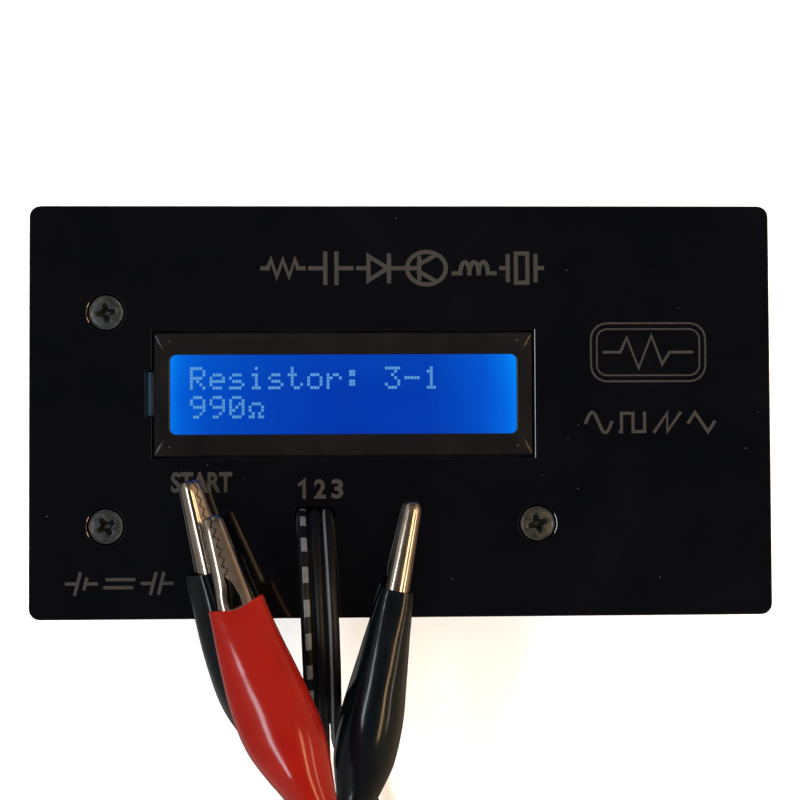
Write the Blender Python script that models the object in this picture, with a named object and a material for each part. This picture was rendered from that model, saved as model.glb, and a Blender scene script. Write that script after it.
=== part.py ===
"""Component tester: a slim bench instrument with a two-line display and three clip leads.

Metres, +Z up. The origin is the centre of the footprint on the table. +X runs along the
panel, +Y towards its back edge, and +Z out of the panel's face.
"""

import math

import bmesh
import bpy
from mathutils import Matrix, Vector

GAP = 0.0003  # air between pieces that touch
OVERSHOOT = 0.001  # how far cutters reach past what they cut
CURVE_STEPS = 24  # straight steps of a smooth curve between two of its points
TENTH_INCH = 0.00254

# name: base colour, roughness, metallic
LOOKS = {
    "acrylic": ((0.004, 0.004, 0.006), 0.06, 0.0),
    "case_plastic": ((0.010, 0.010, 0.011), 0.45, 0.0),
    "foot_rubber": ((0.015, 0.015, 0.015), 0.8, 0.0),
    "black_zinc": ((0.10, 0.105, 0.11), 0.35, 1.0),
    "standoff_brass": ((0.72, 0.55, 0.25), 0.3, 1.0),
    "bright_steel": ((0.62, 0.62, 0.62), 0.3, 1.0),
    "bezel_steel": ((0.02, 0.02, 0.022), 0.35, 0.6),
    "lcd_blue": ((0.01, 0.08, 0.60), 0.15, 0.0),
    "light_guide": ((0.75, 0.80, 0.85), 0.4, 0.0),
    "board_green": ((0.01, 0.13, 0.05), 0.4, 0.0),
    "header_plastic": ((0.012, 0.012, 0.012), 0.5, 0.0),
    "chip_plastic": ((0.015, 0.015, 0.016), 0.55, 0.0),
    "can_metal": ((0.70, 0.70, 0.70), 0.25, 1.0),
    "capacitor_sleeve": ((0.02, 0.03, 0.12), 0.4, 0.0),
    "trimmer_blue": ((0.02, 0.10, 0.45), 0.4, 0.0),
    "rotor_white": ((0.75, 0.75, 0.72), 0.4, 0.0),
    "switch_plastic": ((0.02, 0.02, 0.02), 0.4, 0.0),
    "button_plastic": ((0.03, 0.03, 0.032), 0.4, 0.0),
    "battery_foil": ((0.05, 0.06, 0.08), 0.35, 0.3),
    "snap_vinyl": ((0.015, 0.015, 0.015), 0.6, 0.0),
    "clip_nickel": ((0.72, 0.68, 0.62), 0.22, 1.0),
    "spring_steel": ((0.45, 0.45, 0.46), 0.35, 1.0),
    "lead_vinyl": ((0.012, 0.012, 0.014), 0.35, 0.0),
    "battery_wire_red": ((0.5, 0.01, 0.01), 0.4, 0.0),
    "battery_wire_black": ((0.012, 0.012, 0.012), 0.4, 0.0),
    "boot_vinyl_1": ((0.012, 0.014, 0.018), 0.25, 0.0),
    "boot_vinyl_2": ((0.50, 0.012, 0.008), 0.25, 0.0),
    "boot_vinyl_3": ((0.012, 0.014, 0.018), 0.25, 0.0),
}

# Case
PANEL_WIDTH = 0.1370
PANEL_DEPTH = 0.0760
PANEL_THICKNESS = 0.0030
PANEL_CORNER = 0.0020
PANEL_TOP = 0.0300
PANEL_UNDER = PANEL_TOP - PANEL_THICKNESS
CASE_WIDTH = 0.1360
CASE_DEPTH = 0.0750
CASE_CORNER = 0.0030
WALL = 0.0025
FOOT_RADIUS = 0.0045
FOOT_HEIGHT = 0.0017
FOOT_RECESS = 0.0005
FOOT_EDGE = 0.0005
FOOT_PLACES = [(x, y) for x in (-0.050, 0.050) for y in (-0.028, 0.028)]
COVER_BOTTOM = 0.0015
COVER_THICKNESS = 0.0025
FRAME_BOTTOM = COVER_BOTTOM + COVER_THICKNESS + GAP
FRAME_TOP = PANEL_UNDER - GAP
BOSS_RADIUS = 0.0040
BOSS_DROP = 0.0010
BOSS_PLACES = [(x, y) for x in (-0.0620, 0.0620) for y in (-0.0315, 0.0315)]
PARTITION_X = 0.0304
PARTITION_THICKNESS = 0.0015
WIRE_WAY_Y = (0.0285, 0.0345)
WIRE_WAY_Z = (0.0110, 0.0185)
COVER_COUNTERBORE = 0.0013

# Fasteners
THREAD_RADIUS = 0.0013
CLEARANCE_RADIUS = THREAD_RADIUS + GAP
PANEL_SCREW_PLACES = [(-0.0545, 0.0183), (-0.0545, -0.0210), (0.0249, -0.0209)]
PANEL_SCREW_TURNS = [8.0, 32.0, 18.0]  # degrees that each cross recess is turned
PANEL_SCREW_HEAD = 0.0032
PANEL_SCREW_LENGTH = 0.0090
SCREW_RIM = 0.0003
PANEL_RECESS_DEPTH = 0.0011
PANEL_RECESS_ARM = (0.0017, 0.00035)  # half length, half width
COVER_RECESS_DEPTH = 0.0006
COVER_RECESS_ARM = (0.0013, 0.0003)
SCREW_SUNK = 0.0001  # how far the heads sit below their surface
COVER_SCREW_HEAD = 0.0027
COVER_SCREW_LENGTH = 0.0110
COVER_HEAD_HEIGHT = 0.0009
COVER_HEAD_EDGE = 0.0004
STANDOFF_BORE = 0.0095
STUD_ROOT = 0.0020
HEX_RADIUS = 0.0055 / math.sqrt(3.0)
NUT_HEIGHT = 0.0023

# Display module
LCD_X = -0.0108
LCD_Y = 0.00315
BEZEL_WIDTH = 0.0698
BEZEL_DEPTH = 0.0229
BEZEL_TOP = PANEL_TOP - 0.0002
BEZEL_SHEET = 0.0005
WINDOW_WIDTH = 0.0640
WINDOW_DEPTH = 0.0147
WINDOW_CORNER = 0.0011
CUT_OUT_GAP = 0.0004
NOTCH_WIDTH = 0.0012
LCD_BOARD_WIDTH = 0.0800
LCD_BOARD_DEPTH = 0.0360
BOARD_THICKNESS = 0.0016
LCD_BOARD_TOP = 0.0223
LCD_HOLE_RADIUS = 0.00125
LCD_HOLE_PLACES = [(LCD_X + x, LCD_Y + y) for x in (-0.0375, 0.0375) for y in (-0.0155, 0.0155)]
HEADER_WAYS = 16
HEADER_HALF_DEPTH = 0.00125
HEADER_NOTCH = (0.0003, 0.0002)
HEADER_FROM_LEFT = 0.0078
HEADER_FROM_BACK = 0.0025
BACKLIGHT_TOP = 0.0259
BACKLIGHT_TAB_TOP = 0.0280
BACKLIGHT_TAB_REACH = 0.0013
BACKLIGHT_MARGIN = (0.0012, 0.0006)
NOTCH_DEPTH = 0.0086
NOTCH_Y = 0.0034

# Main board and what stands on it
MAIN_TOP = 0.0104
MAIN_LOW_CORNER = (-0.0595, -0.0265)
MAIN_HIGH_CORNER = (0.0295, 0.0235)
ON_MAIN = MAIN_TOP + GAP
START_PLACE = (-0.0364, -0.0222)
START_RADIUS = 0.0018
START_PROUD = 0.0008
START_EDGE = 0.0003
SWITCH_SIDE = 0.0060
SWITCH_HEIGHT = 0.0035
SWITCH_WELL_FLOOR = 0.0013
BUTTON_FOOT = 0.0022
TRIMMER_PLACE = (-0.0552, -0.0020)
TRIMMER_SIDE = 0.0068
TRIMMER_HEIGHT = 0.0035
TRIMMER_WELL_RADIUS = 0.0022
TRIMMER_WELL_FLOOR = 0.0016
ROTOR_RADIUS = 0.0019
ROTOR_PROUD = 0.0002
ROTOR_SLOT = (0.0006, 0.0050, 0.0008)  # width, length, depth
TERMINAL_SIZE = (0.0080, 0.0040)
TERMINAL_TOP = 0.0165
SMALL_BEVEL = 0.0003
CHIP_PLACE = (-0.0120, -0.0030)
CHIP_HALF_SIZE = (0.0173, 0.0033)
CHIP_HEIGHT = 0.0034
CHIP_LEGS_PER_SIDE = 14
CHIP_LEG = 0.0006
SOCKET_SIZE = (0.0356, 0.0100)
SOCKET_OPENING = (0.0300, 0.0048)
SOCKET_HEIGHT = 0.0038
CRYSTAL_PLACE = (-0.0370, 0.0085)
CRYSTAL_SIZE = (0.0108, 0.0045, 0.0035)
CRYSTAL_CORNER = 0.00224
CAPACITOR_PLACE = (0.0140, 0.0110)
CAPACITOR_RADIUS = 0.0032
CAPACITOR_HEIGHT = 0.0070
CAPACITOR_EDGE = 0.0004
REGULATOR_PLACE = (0.0220, 0.0050)
REGULATOR_RADIUS = 0.0023
REGULATOR_ARC = (-40.0, 220.0)
REGULATOR_LOW = 0.0020
REGULATOR_HIGH = 0.0065
REGULATOR_LEG_PITCH = 0.00127
REGULATOR_LEG_SIDE = 0.0005

# Battery
BATTERY_SIZE = (0.0265, 0.0485, 0.0175)
BATTERY_CENTRE = (0.0462, 0.0, 0.01335)
BATTERY_CORNER = 0.0020
STUD_X = 0.0064
STUD_RADII = (0.0033, 0.0029)
STUD_HEIGHT = 0.0025
SNAP_SIZE = (0.0240, 0.0120, 0.0040)
SNAP_CORNER = 0.0030
CUP_RADIUS = 0.0037
CUP_DEPTH = 0.0028
BATTERY_LEAD_RADIUS = 0.0006
BATTERY_LEAD_POINTS = 14
BATTERY_LEADS = {
    "battery_wire_red": [
        (0.0490, 0.0294, 0.0140),
        (0.0440, 0.0312, 0.0150),
        (0.0330, 0.0306, 0.0165),
        (0.0280, 0.0275, 0.0158),
        (0.0258, 0.0230, 0.0138),
        (0.0250, 0.0195, 0.0112),
    ],
    "battery_wire_black": [
        (0.0400, 0.0294, 0.0140),
        (0.0375, 0.0325, 0.0132),
        (0.0320, 0.0330, 0.0130),
        (0.0270, 0.0310, 0.0134),
        (0.0228, 0.0250, 0.0134),
        (0.0215, 0.0205, 0.0113),
    ],
}

# Test leads: they leave the slot side by side, then each loops back to the tail of its clip
LEAD_RADIUS = 0.00108
LEAD_PITCH = 0.0023
LEAD_EXIT = (-0.0163, -0.0190)
LEAD_SLOT_HALF_DEPTH = LEAD_RADIUS + 0.0004
LEAD_POINTS = 48
RIBBON_ROUTE = [
    (*LEAD_EXIT, TERMINAL_TOP + GAP),
    (*LEAD_EXIT, 0.0235),
    (*LEAD_EXIT, 0.0295),
    (-0.0162, -0.0200, 0.0334),
    (-0.0160, -0.0225, 0.0371),
    (-0.0157, -0.0264, 0.0403),
    (-0.0154, -0.0316, 0.0425),
    (-0.0151, -0.0376, 0.0432),
    (-0.0149, -0.0438, 0.0420),
    (-0.0148, -0.0494, 0.0384),
    (-0.0148, -0.0542, 0.0326),
    (-0.0148, -0.0587, 0.0256),
]
LEAD_LOOPS = [
    [
        (-0.0174, -0.0636, 0.0182),
        (-0.0184, -0.0692, 0.0110),
        (-0.0203, -0.0762, 0.0050),
        (-0.0230, -0.0842, 0.0024),
        (-0.0252, -0.0920, 0.0048),
        (-0.0250, -0.0985, 0.0125),
        (-0.0214, -0.1002, 0.0225),
        (-0.0170, -0.0962, 0.0312),
        (-0.0142, -0.0888, 0.0358),
        (-0.0136, -0.0816, 0.0370),
    ],
    [
        (-0.0148, -0.0640, 0.0178),
        (-0.0147, -0.0702, 0.0104),
        (-0.0144, -0.0792, 0.0046),
        (-0.0138, -0.0884, 0.0030),
        (-0.0122, -0.0968, 0.0068),
        (-0.0098, -0.1034, 0.0145),
        (-0.0072, -0.1068, 0.0250),
        (-0.0052, -0.1062, 0.0358),
        (-0.0044, -0.1014, 0.0454),
        (-0.0048, -0.0942, 0.0528),
        (-0.0066, -0.0858, 0.0570),
    ],
    [
        (-0.0121, -0.0636, 0.0180),
        (-0.0098, -0.0696, 0.0106),
        (-0.0060, -0.0764, 0.0046),
        (-0.0012, -0.0838, 0.0024),
        (0.0026, -0.0914, 0.0048),
        (0.0036, -0.0986, 0.0122),
        (0.0008, -0.1024, 0.0224),
        (-0.0044, -0.1008, 0.0322),
        (-0.0094, -0.0946, 0.0386),
        (-0.0118, -0.0868, 0.0413),
    ],
]

# Clips: distances along a clip run from the tip of its jaws to its tail
CLIP_PIVOT = 0.0185
JAW_LENGTH = 0.0350
JAW_SHEET = 0.0004
PIN_RADIUS = 0.00065
PIN_HALF_LENGTH = 0.0023
SPRING_WIRE = 0.00025
SPRING_RADIUS = 0.0014
SPRING_TURNS = 3
SPRING_STEPS_PER_TURN = 8
SPRING_HALF_WIDTH = 0.0008
SPRING_LEG_END = (-0.0080, 0.0026)
TEETH_START = 0.0020
TEETH_END = 0.0112
TOOTH_PITCH = 0.00184
TOOTH_HEIGHT = 0.0003
JAW_CUTTER_HALF_LENGTH = 0.0040
# distance, height of the crown above the meeting plane
JAW_CROWN = [
    (0.0, 0.00100),
    (0.00035, 0.00160),
    (0.0010, 0.00195),
    (0.0160, 0.0033),
    (CLIP_PIVOT, 0.0035),
    (0.0220, 0.0038),
    (JAW_LENGTH, 0.0047),
]
# distance, half width: the fixed handle is narrower, so the moving ears pass outside it
JAW_NOSE = [(0.0, 0.00060), (0.00035, 0.00112), (0.0010, 0.00150), (TEETH_START, 0.00168)]
MOVING_WIDTH = [*JAW_NOSE, (0.0160, 0.00222), (JAW_LENGTH, 0.0023)]
FIXED_WIDTH = [*JAW_NOSE, (0.0130, 0.00206), (0.0154, 0.0016), (JAW_LENGTH, 0.0016)]
# distance, height of the sheet's edge: negative where the ears hang past the pin
JAW_EDGE = [
    (0.0, GAP / 2),
    (TEETH_END, GAP / 2),
    (0.0155, 0.0012),
    (0.0166, -0.0002),
    (0.0170, -0.0017),
    (0.0200, -0.0017),
    (0.0206, 0.0005),
    (0.0220, 0.0020),
    (JAW_LENGTH, 0.0032),
]
# share of the half width across, and the same share of it down from the crown (none at the edge)
CHANNEL_SHAPE = [(1.0, None), (1.0, 0.75), (0.55, 0.05), (-0.55, 0.05), (-1.0, 0.75), (-1.0, None)]
LEAST_SIDE = 0.00002
# the lead in its clip: distance, height above the clip's axis
LEAD_IN_BOOT = [
    (0.0660, 0.0),
    (0.0610, 0.0),
    (0.0570, 0.0),
    (0.0540, 0.0),
    (0.0512, 0.0),
    (0.0475, -0.0007),
    (0.0435, -0.0016),
    (0.0395, -0.0023),
]
LEAD_IN_HANDLE = [(0.0355, -0.0027), (0.0325, -0.0026)]
# name, tip, a point behind it on the clip's axis, roll in degrees, bend of the boot's tail along X
CLIPS = [
    ("clip_1", (-0.0388, -0.0125, 0.0366), (-0.0235, -0.0672, 0.0366), 45.0, 0.0042),
    ("clip_2", (-0.0343, -0.0188, 0.0412), (-0.0198, -0.0639, 0.0540), -90.0, 0.0040),
    ("clip_3", (0.0018, -0.0166, 0.0337), (-0.0084, -0.0661, 0.0395), 0.0, 0.0),
]
BOOT_START = 0.0160
BOOT_END = 0.0560
# distance, half width, half height, squareness of the section
BOOT_OUTSIDE = [
    (BOOT_START, 0.00290, 0.00485, 4.0),
    (0.0180, 0.00325, 0.00505, 3.8),
    (0.0220, 0.00375, 0.00550, 3.2),
    (0.0285, 0.00450, 0.00628, 2.6),
    (0.0335, 0.00510, 0.00680, 2.3),
    (0.0385, 0.00565, 0.00695, 2.2),
    (0.0425, 0.00575, 0.00655, 2.1),
    (0.0470, 0.00540, 0.00540, 2.0),
    (0.0505, 0.00450, 0.00430, 2.0),
    (0.0535, 0.00360, 0.00350, 2.0),
    (BOOT_END, 0.00320, 0.00320, 2.0),
]
BOOT_INSIDE = [
    (BOOT_END, 0.00150, 0.00150, 2.0),
    (0.0515, 0.00150, 0.00150, 2.0),
    (0.0485, 0.00390, 0.00390, 2.0),
    (0.0425, 0.00495, 0.00570, 2.1),
    (0.0385, 0.00485, 0.00615, 2.2),
    (0.0335, 0.00430, 0.00605, 2.3),
    (0.0285, 0.00380, 0.00560, 2.6),
    (0.0220, 0.00315, 0.00495, 3.2),
    (0.0180, 0.00275, 0.00460, 3.8),
    (BOOT_START, 0.00250, 0.00445, 4.0),
]


# ---------------------------------------------------------------- helpers


def clear_scene():
    for obj in list(bpy.data.objects):
        bpy.data.objects.remove(obj, do_unlink=True)


def material(name):
    colour, roughness, metallic = LOOKS[name]
    made = bpy.data.materials.get(name) or bpy.data.materials.new(name)
    made.use_nodes = True
    shader = made.node_tree.nodes["Principled BSDF"]
    shader.inputs["Base Color"].default_value = (*colour, 1.0)
    shader.inputs["Roughness"].default_value = roughness
    shader.inputs["Metallic"].default_value = metallic
    return made


def put_in_scene(name, bm, look=None, sharp_degrees=35.0):
    """The object of a bmesh, shaded smooth except across its sharp edges."""
    bmesh.ops.recalc_face_normals(bm, faces=bm.faces)
    mesh = bpy.data.meshes.new(name)
    bm.to_mesh(mesh)
    bm.free()
    mesh.shade_smooth()
    mesh.set_sharp_from_angle(angle=math.radians(sharp_degrees))
    obj = bpy.data.objects.new(name, mesh)
    bpy.context.scene.collection.objects.link(obj)
    if look:
        mesh.materials.append(look)
    return obj


def boolean(target, tool_bm, operation="DIFFERENCE"):
    """Cuts the tool's shapes out of the target, or joins them to it."""
    tool = put_in_scene(f"{target.name}_{operation.lower()}_tool", tool_bm)
    tool.hide_render = True
    tool.display_type = "WIRE"
    step = target.modifiers.new(operation.title(), "BOOLEAN")
    step.operation = operation
    step.object = tool


def rounded_outline(width, depth, radius, steps=4, centre=(0.0, 0.0)):
    """Points of a rectangle with round corners, anticlockwise."""
    points = []
    for quarter, (sx, sy) in enumerate([(1, 1), (-1, 1), (-1, -1), (1, -1)]):
        cx = centre[0] + sx * (width / 2 - radius)
        cy = centre[1] + sy * (depth / 2 - radius)
        for step in range(steps + 1):
            angle = math.radians(90 * quarter + 90 * step / steps)
            points.append((cx + radius * math.cos(angle), cy + radius * math.sin(angle)))
    return points


def add_prism(bm, outline, low, high):
    """A straight-sided solid on an outline in XY."""
    rings = [[bm.verts.new((x, y, z)) for x, y in outline] for z in (low, high)]
    bm.faces.new(rings[0][::-1])
    bm.faces.new(rings[1])
    count = len(outline)
    for i in range(count):
        j = (i + 1) % count
        bm.faces.new((rings[0][i], rings[0][j], rings[1][j], rings[1][i]))


def circle_outline(radius, centre, sides):
    angles = [2 * math.pi * i / sides for i in range(sides)]
    return [(centre[0] + radius * math.cos(a), centre[1] + radius * math.sin(a)) for a in angles]


def add_round(bm, radius, centre, low, high, sides=12):
    add_prism(bm, circle_outline(radius, centre, sides), low, high)


def box_outline(low_corner, high_corner):
    (x0, y0), (x1, y1) = low_corner, high_corner
    return [(x0, y0), (x1, y0), (x1, y1), (x0, y1)]


def centred_box(centre, width, depth):
    x, y = centre
    return box_outline((x - width / 2, y - depth / 2), (x + width / 2, y + depth / 2))


def add_turned(bm, profile, centre, sides=16):
    """A solid turned about a vertical axis. The profile's points are (radius, height), going up."""
    rings = []
    for radius, height in profile:
        ring = circle_outline(radius, centre, sides)
        rings.append([bm.verts.new((x, y, height)) for x, y in ring])
    bm.faces.new(rings[0][::-1])
    bm.faces.new(rings[-1])
    for below, above in zip(rings, rings[1:]):
        for i in range(sides):
            j = (i + 1) % sides
            bm.faces.new((below[i], below[j], above[j], above[i]))


def prism(name, outline, low, high, look, bevel=0.0):
    bm = bmesh.new()
    add_prism(bm, outline, low, high)
    obj = put_in_scene(name, bm, look)
    if bevel:
        step = obj.modifiers.new("Bevel", "BEVEL")
        step.width = bevel
        step.segments = 1
    return obj


def smooth_route(points, count):
    """Evenly spaced points of the smooth curve through the given ones."""
    given = [Vector(p) for p in points]
    padded = [2 * given[0] - given[1], *given, 2 * given[-1] - given[-2]]
    dense = []
    for a, b, c, d in zip(padded, padded[1:], padded[2:], padded[3:]):
        for i in range(CURVE_STEPS):
            t = i / CURVE_STEPS
            dense.append(
                0.5 * (2 * b + (c - a) * t + (2 * a - 5 * b + 4 * c - d) * t**2)
                + 0.5 * (3 * b - a - 3 * c + d) * t**3
            )
    dense.append(given[-1])
    travelled = [0.0]
    for p, q in zip(dense, dense[1:]):
        travelled.append(travelled[-1] + (q - p).length)
    even, k = [], 0
    for i in range(count):
        want = travelled[-1] * i / (count - 1)
        while k < len(dense) - 2 and travelled[k + 1] < want:
            k += 1
        share = (want - travelled[k]) / (travelled[k + 1] - travelled[k])
        even.append(dense[k].lerp(dense[k + 1], min(share, 1.0)))
    return even


def tube(name, route, radius, look, resolution=2):
    """A cord along a list of points, with closed ends."""
    curve = bpy.data.curves.new(name, "CURVE")
    curve.dimensions = "3D"
    curve.bevel_depth = radius
    curve.bevel_resolution = resolution
    curve.use_fill_caps = True
    spline = curve.splines.new("POLY")
    spline.points.add(len(route) - 1)
    for point, place in zip(spline.points, route):
        point.co = (*place, 1.0)
    curve.materials.append(look)
    obj = bpy.data.objects.new(name, curve)
    bpy.context.scene.collection.objects.link(obj)
    return obj


# ---------------------------------------------------------------- case


def display_opening():
    """The display's cut-out, with the notch for the backlight's tab on its left side."""
    left = LCD_X - BEZEL_WIDTH / 2 - CUT_OUT_GAP
    right = LCD_X + BEZEL_WIDTH / 2 + CUT_OUT_GAP
    front = LCD_Y - BEZEL_DEPTH / 2 - CUT_OUT_GAP
    back = LCD_Y + BEZEL_DEPTH / 2 + CUT_OUT_GAP
    notch = left - NOTCH_WIDTH
    return [
        (left, front),
        (right, front),
        (right, back),
        (left, back),
        (left, NOTCH_Y + NOTCH_DEPTH / 2),
        (notch, NOTCH_Y + NOTCH_DEPTH / 2),
        (notch, NOTCH_Y - NOTCH_DEPTH / 2),
        (left, NOTCH_Y - NOTCH_DEPTH / 2),
    ]


def face_panel():
    """The acrylic face: display cut-out, countersunk holes, button hole and lead slot."""
    outline = rounded_outline(PANEL_WIDTH, PANEL_DEPTH, PANEL_CORNER)
    obj = prism("face_panel", outline, PANEL_UNDER, PANEL_TOP, material("acrylic"))
    low, high = PANEL_UNDER - OVERSHOOT, PANEL_TOP + OVERSHOOT
    cuts = bmesh.new()
    add_prism(cuts, display_opening(), low, high)
    head = PANEL_SCREW_HEAD + GAP
    cone_top = PANEL_TOP - 2 * SCREW_RIM
    profile = [
        (CLEARANCE_RADIUS, low),
        (CLEARANCE_RADIUS, cone_top - (head - CLEARANCE_RADIUS)),
        (head, cone_top),
        (head, high),
    ]
    for place in PANEL_SCREW_PLACES:
        add_turned(cuts, profile, place, 24)
    add_round(cuts, START_RADIUS + CUT_OUT_GAP, START_PLACE, low, high, 20)
    slot_width = 2 * (LEAD_PITCH + LEAD_SLOT_HALF_DEPTH)
    slot = rounded_outline(slot_width, 2 * LEAD_SLOT_HALF_DEPTH, LEAD_SLOT_HALF_DEPTH, 4, LEAD_EXIT)
    add_prism(cuts, slot, low, high)
    boolean(obj, cuts)


def case_frame():
    """The four walls with the battery partition and the corner bosses."""
    plastic = material("case_plastic")
    outline = rounded_outline(CASE_WIDTH, CASE_DEPTH, CASE_CORNER)
    obj = prism("case_frame", outline, FRAME_BOTTOM, FRAME_TOP, plastic)
    inner_x, inner_y = CASE_WIDTH / 2 - WALL, CASE_DEPTH / 2 - WALL
    partition_end = PARTITION_X + PARTITION_THICKNESS
    low, high = FRAME_BOTTOM - OVERSHOOT, FRAME_TOP + OVERSHOOT
    rooms = bmesh.new()
    add_prism(rooms, box_outline((-inner_x, -inner_y), (PARTITION_X, inner_y)), low, high)
    add_prism(rooms, box_outline((partition_end, -inner_y), (inner_x, inner_y)), low, high)
    boolean(obj, rooms)
    bosses = bmesh.new()
    for place in BOSS_PLACES:
        add_round(bosses, BOSS_RADIUS, place, FRAME_BOTTOM, FRAME_TOP - BOSS_DROP, 16)
    boolean(obj, bosses, "UNION")
    holes = bmesh.new()
    for place in BOSS_PLACES:
        add_round(holes, CLEARANCE_RADIUS, place, low, FRAME_BOTTOM + COVER_SCREW_LENGTH)
    near_corner = (PARTITION_X - OVERSHOOT, WIRE_WAY_Y[0])
    far_corner = (partition_end + OVERSHOOT, WIRE_WAY_Y[1])
    add_prism(holes, box_outline(near_corner, far_corner), *WIRE_WAY_Z)
    boolean(obj, holes)


def rear_cover():
    """The bottom plate, with counterbores for its screws and shallow seats for the feet."""
    outline = rounded_outline(CASE_WIDTH, CASE_DEPTH, CASE_CORNER)
    plastic = material("case_plastic")
    obj = prism("rear_cover", outline, COVER_BOTTOM, COVER_BOTTOM + COVER_THICKNESS, plastic)
    cuts = bmesh.new()
    low, high = COVER_BOTTOM - OVERSHOOT, COVER_BOTTOM + COVER_THICKNESS + OVERSHOOT
    profile = [
        (COVER_SCREW_HEAD + GAP, low),
        (COVER_SCREW_HEAD + GAP, COVER_BOTTOM + COVER_COUNTERBORE),
        (CLEARANCE_RADIUS, COVER_BOTTOM + COVER_COUNTERBORE),
        (CLEARANCE_RADIUS, high),
    ]
    for place in BOSS_PLACES:
        add_turned(cuts, profile, place)
    for place in FOOT_PLACES:
        add_round(cuts, FOOT_RADIUS + GAP, place, low, COVER_BOTTOM + FOOT_RECESS, 16)
    boolean(obj, cuts)


def rubber_feet():
    rubber = material("foot_rubber")
    for number, place in enumerate(FOOT_PLACES, 1):
        bm = bmesh.new()
        profile = [
            (FOOT_RADIUS - FOOT_EDGE, 0.0),
            (FOOT_RADIUS, FOOT_EDGE),
            (FOOT_RADIUS, FOOT_HEIGHT),
        ]
        add_turned(bm, profile, place)
        put_in_scene(f"rubber_foot_{number}", bm, rubber)


# ---------------------------------------------------------------- fasteners


def add_cross_recess(bm, centre, turn, low, high, arm):
    """A plus-shaped tool that cuts a screw's drive recess."""
    half_length, half_width = arm
    outline = []
    middle = Vector(centre)
    for quarter in range(4):
        angle = math.radians(turn + 90 * quarter)
        along = Vector((math.cos(angle), math.sin(angle)))
        across = Vector((-along.y, along.x))
        outline.append(middle + along * half_length - across * half_width)
        outline.append(middle + along * half_length + across * half_width)
        outline.append(middle + along * half_width + across * half_width)
    add_prism(bm, [tuple(p) for p in outline], low, high)


def panel_screws():
    """Countersunk screws, flush with the panel, reaching into the standoffs."""
    steel = material("black_zinc")
    top = PANEL_TOP - SCREW_SUNK
    profile = [
        (THREAD_RADIUS, top - PANEL_SCREW_LENGTH),
        (THREAD_RADIUS, top - SCREW_RIM - (PANEL_SCREW_HEAD - THREAD_RADIUS)),
        (PANEL_SCREW_HEAD, top - SCREW_RIM),
        (PANEL_SCREW_HEAD, top),
    ]
    for number, (place, turn) in enumerate(zip(PANEL_SCREW_PLACES, PANEL_SCREW_TURNS), 1):
        bm = bmesh.new()
        add_turned(bm, profile, place, 24)
        obj = put_in_scene(f"panel_screw_{number}", bm, steel)
        recess = bmesh.new()
        add_cross_recess(recess, place, turn, top - PANEL_RECESS_DEPTH, top + OVERSHOOT, PANEL_RECESS_ARM)
        boolean(obj, recess)


def standoffs():
    """Hexagonal pillars between the panel and the main board, each with a stud through the board."""
    brass = material("standoff_brass")
    stud_end = MAIN_TOP - BOARD_THICKNESS - NUT_HEIGHT - 2 * GAP
    for number, place in enumerate(PANEL_SCREW_PLACES, 1):
        outline = circle_outline(HEX_RADIUS, place, 6)
        obj = prism(f"standoff_{number}", outline, ON_MAIN, FRAME_TOP, brass)
        stud = bmesh.new()
        add_round(stud, THREAD_RADIUS, place, stud_end, ON_MAIN + STUD_ROOT)
        boolean(obj, stud, "UNION")
        bore = bmesh.new()
        add_round(bore, CLEARANCE_RADIUS, place, FRAME_TOP - STANDOFF_BORE, FRAME_TOP + OVERSHOOT)
        boolean(obj, bore)


def board_nuts():
    steel = material("bright_steel")
    top = MAIN_TOP - BOARD_THICKNESS - GAP
    for number, place in enumerate(PANEL_SCREW_PLACES, 1):
        outline = circle_outline(HEX_RADIUS, place, 6)
        obj = prism(f"board_nut_{number}", outline, top - NUT_HEIGHT, top, steel)
        bore = bmesh.new()
        add_round(bore, CLEARANCE_RADIUS, place, top - NUT_HEIGHT - OVERSHOOT, top + OVERSHOOT)
        boolean(obj, bore)


def cover_screws():
    """Pan-head screws through the rear cover into the corner bosses."""
    steel = material("black_zinc")
    head_low = COVER_BOTTOM + SCREW_SUNK
    head_high = head_low + COVER_HEAD_HEIGHT
    profile = [
        (COVER_SCREW_HEAD - COVER_HEAD_EDGE, head_low),
        (COVER_SCREW_HEAD, head_low + COVER_HEAD_EDGE),
        (COVER_SCREW_HEAD, head_high),
        (THREAD_RADIUS, head_high),
        (THREAD_RADIUS, head_high + COVER_SCREW_LENGTH),
    ]
    for number, place in enumerate(BOSS_PLACES, 1):
        bm = bmesh.new()
        add_turned(bm, profile, place, 12)
        obj = put_in_scene(f"cover_screw_{number}", bm, steel)
        recess = bmesh.new()
        recess_end = head_low + COVER_RECESS_DEPTH
        add_cross_recess(recess, place, 0.0, head_low - OVERSHOOT, recess_end, COVER_RECESS_ARM)
        boolean(obj, recess)


# ---------------------------------------------------------------- display


def lcd_bezel():
    """The pressed steel frame: a flat face with the window, and a skirt down to the backlight."""
    steel = material("bezel_steel")
    middle = (LCD_X, LCD_Y)
    low = BACKLIGHT_TOP + GAP
    obj = prism("lcd_bezel", centred_box(middle, BEZEL_WIDTH, BEZEL_DEPTH), low, BEZEL_TOP, steel)
    cuts = bmesh.new()
    room = centred_box(middle, BEZEL_WIDTH - 2 * BEZEL_SHEET, BEZEL_DEPTH - 2 * BEZEL_SHEET)
    add_prism(cuts, room, low - OVERSHOOT, BEZEL_TOP - BEZEL_SHEET)
    boolean(obj, cuts)
    window = bmesh.new()
    outline = rounded_outline(WINDOW_WIDTH, WINDOW_DEPTH, WINDOW_CORNER, 4, middle)
    add_prism(window, outline, low, BEZEL_TOP + OVERSHOOT)
    boolean(obj, window)


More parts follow.
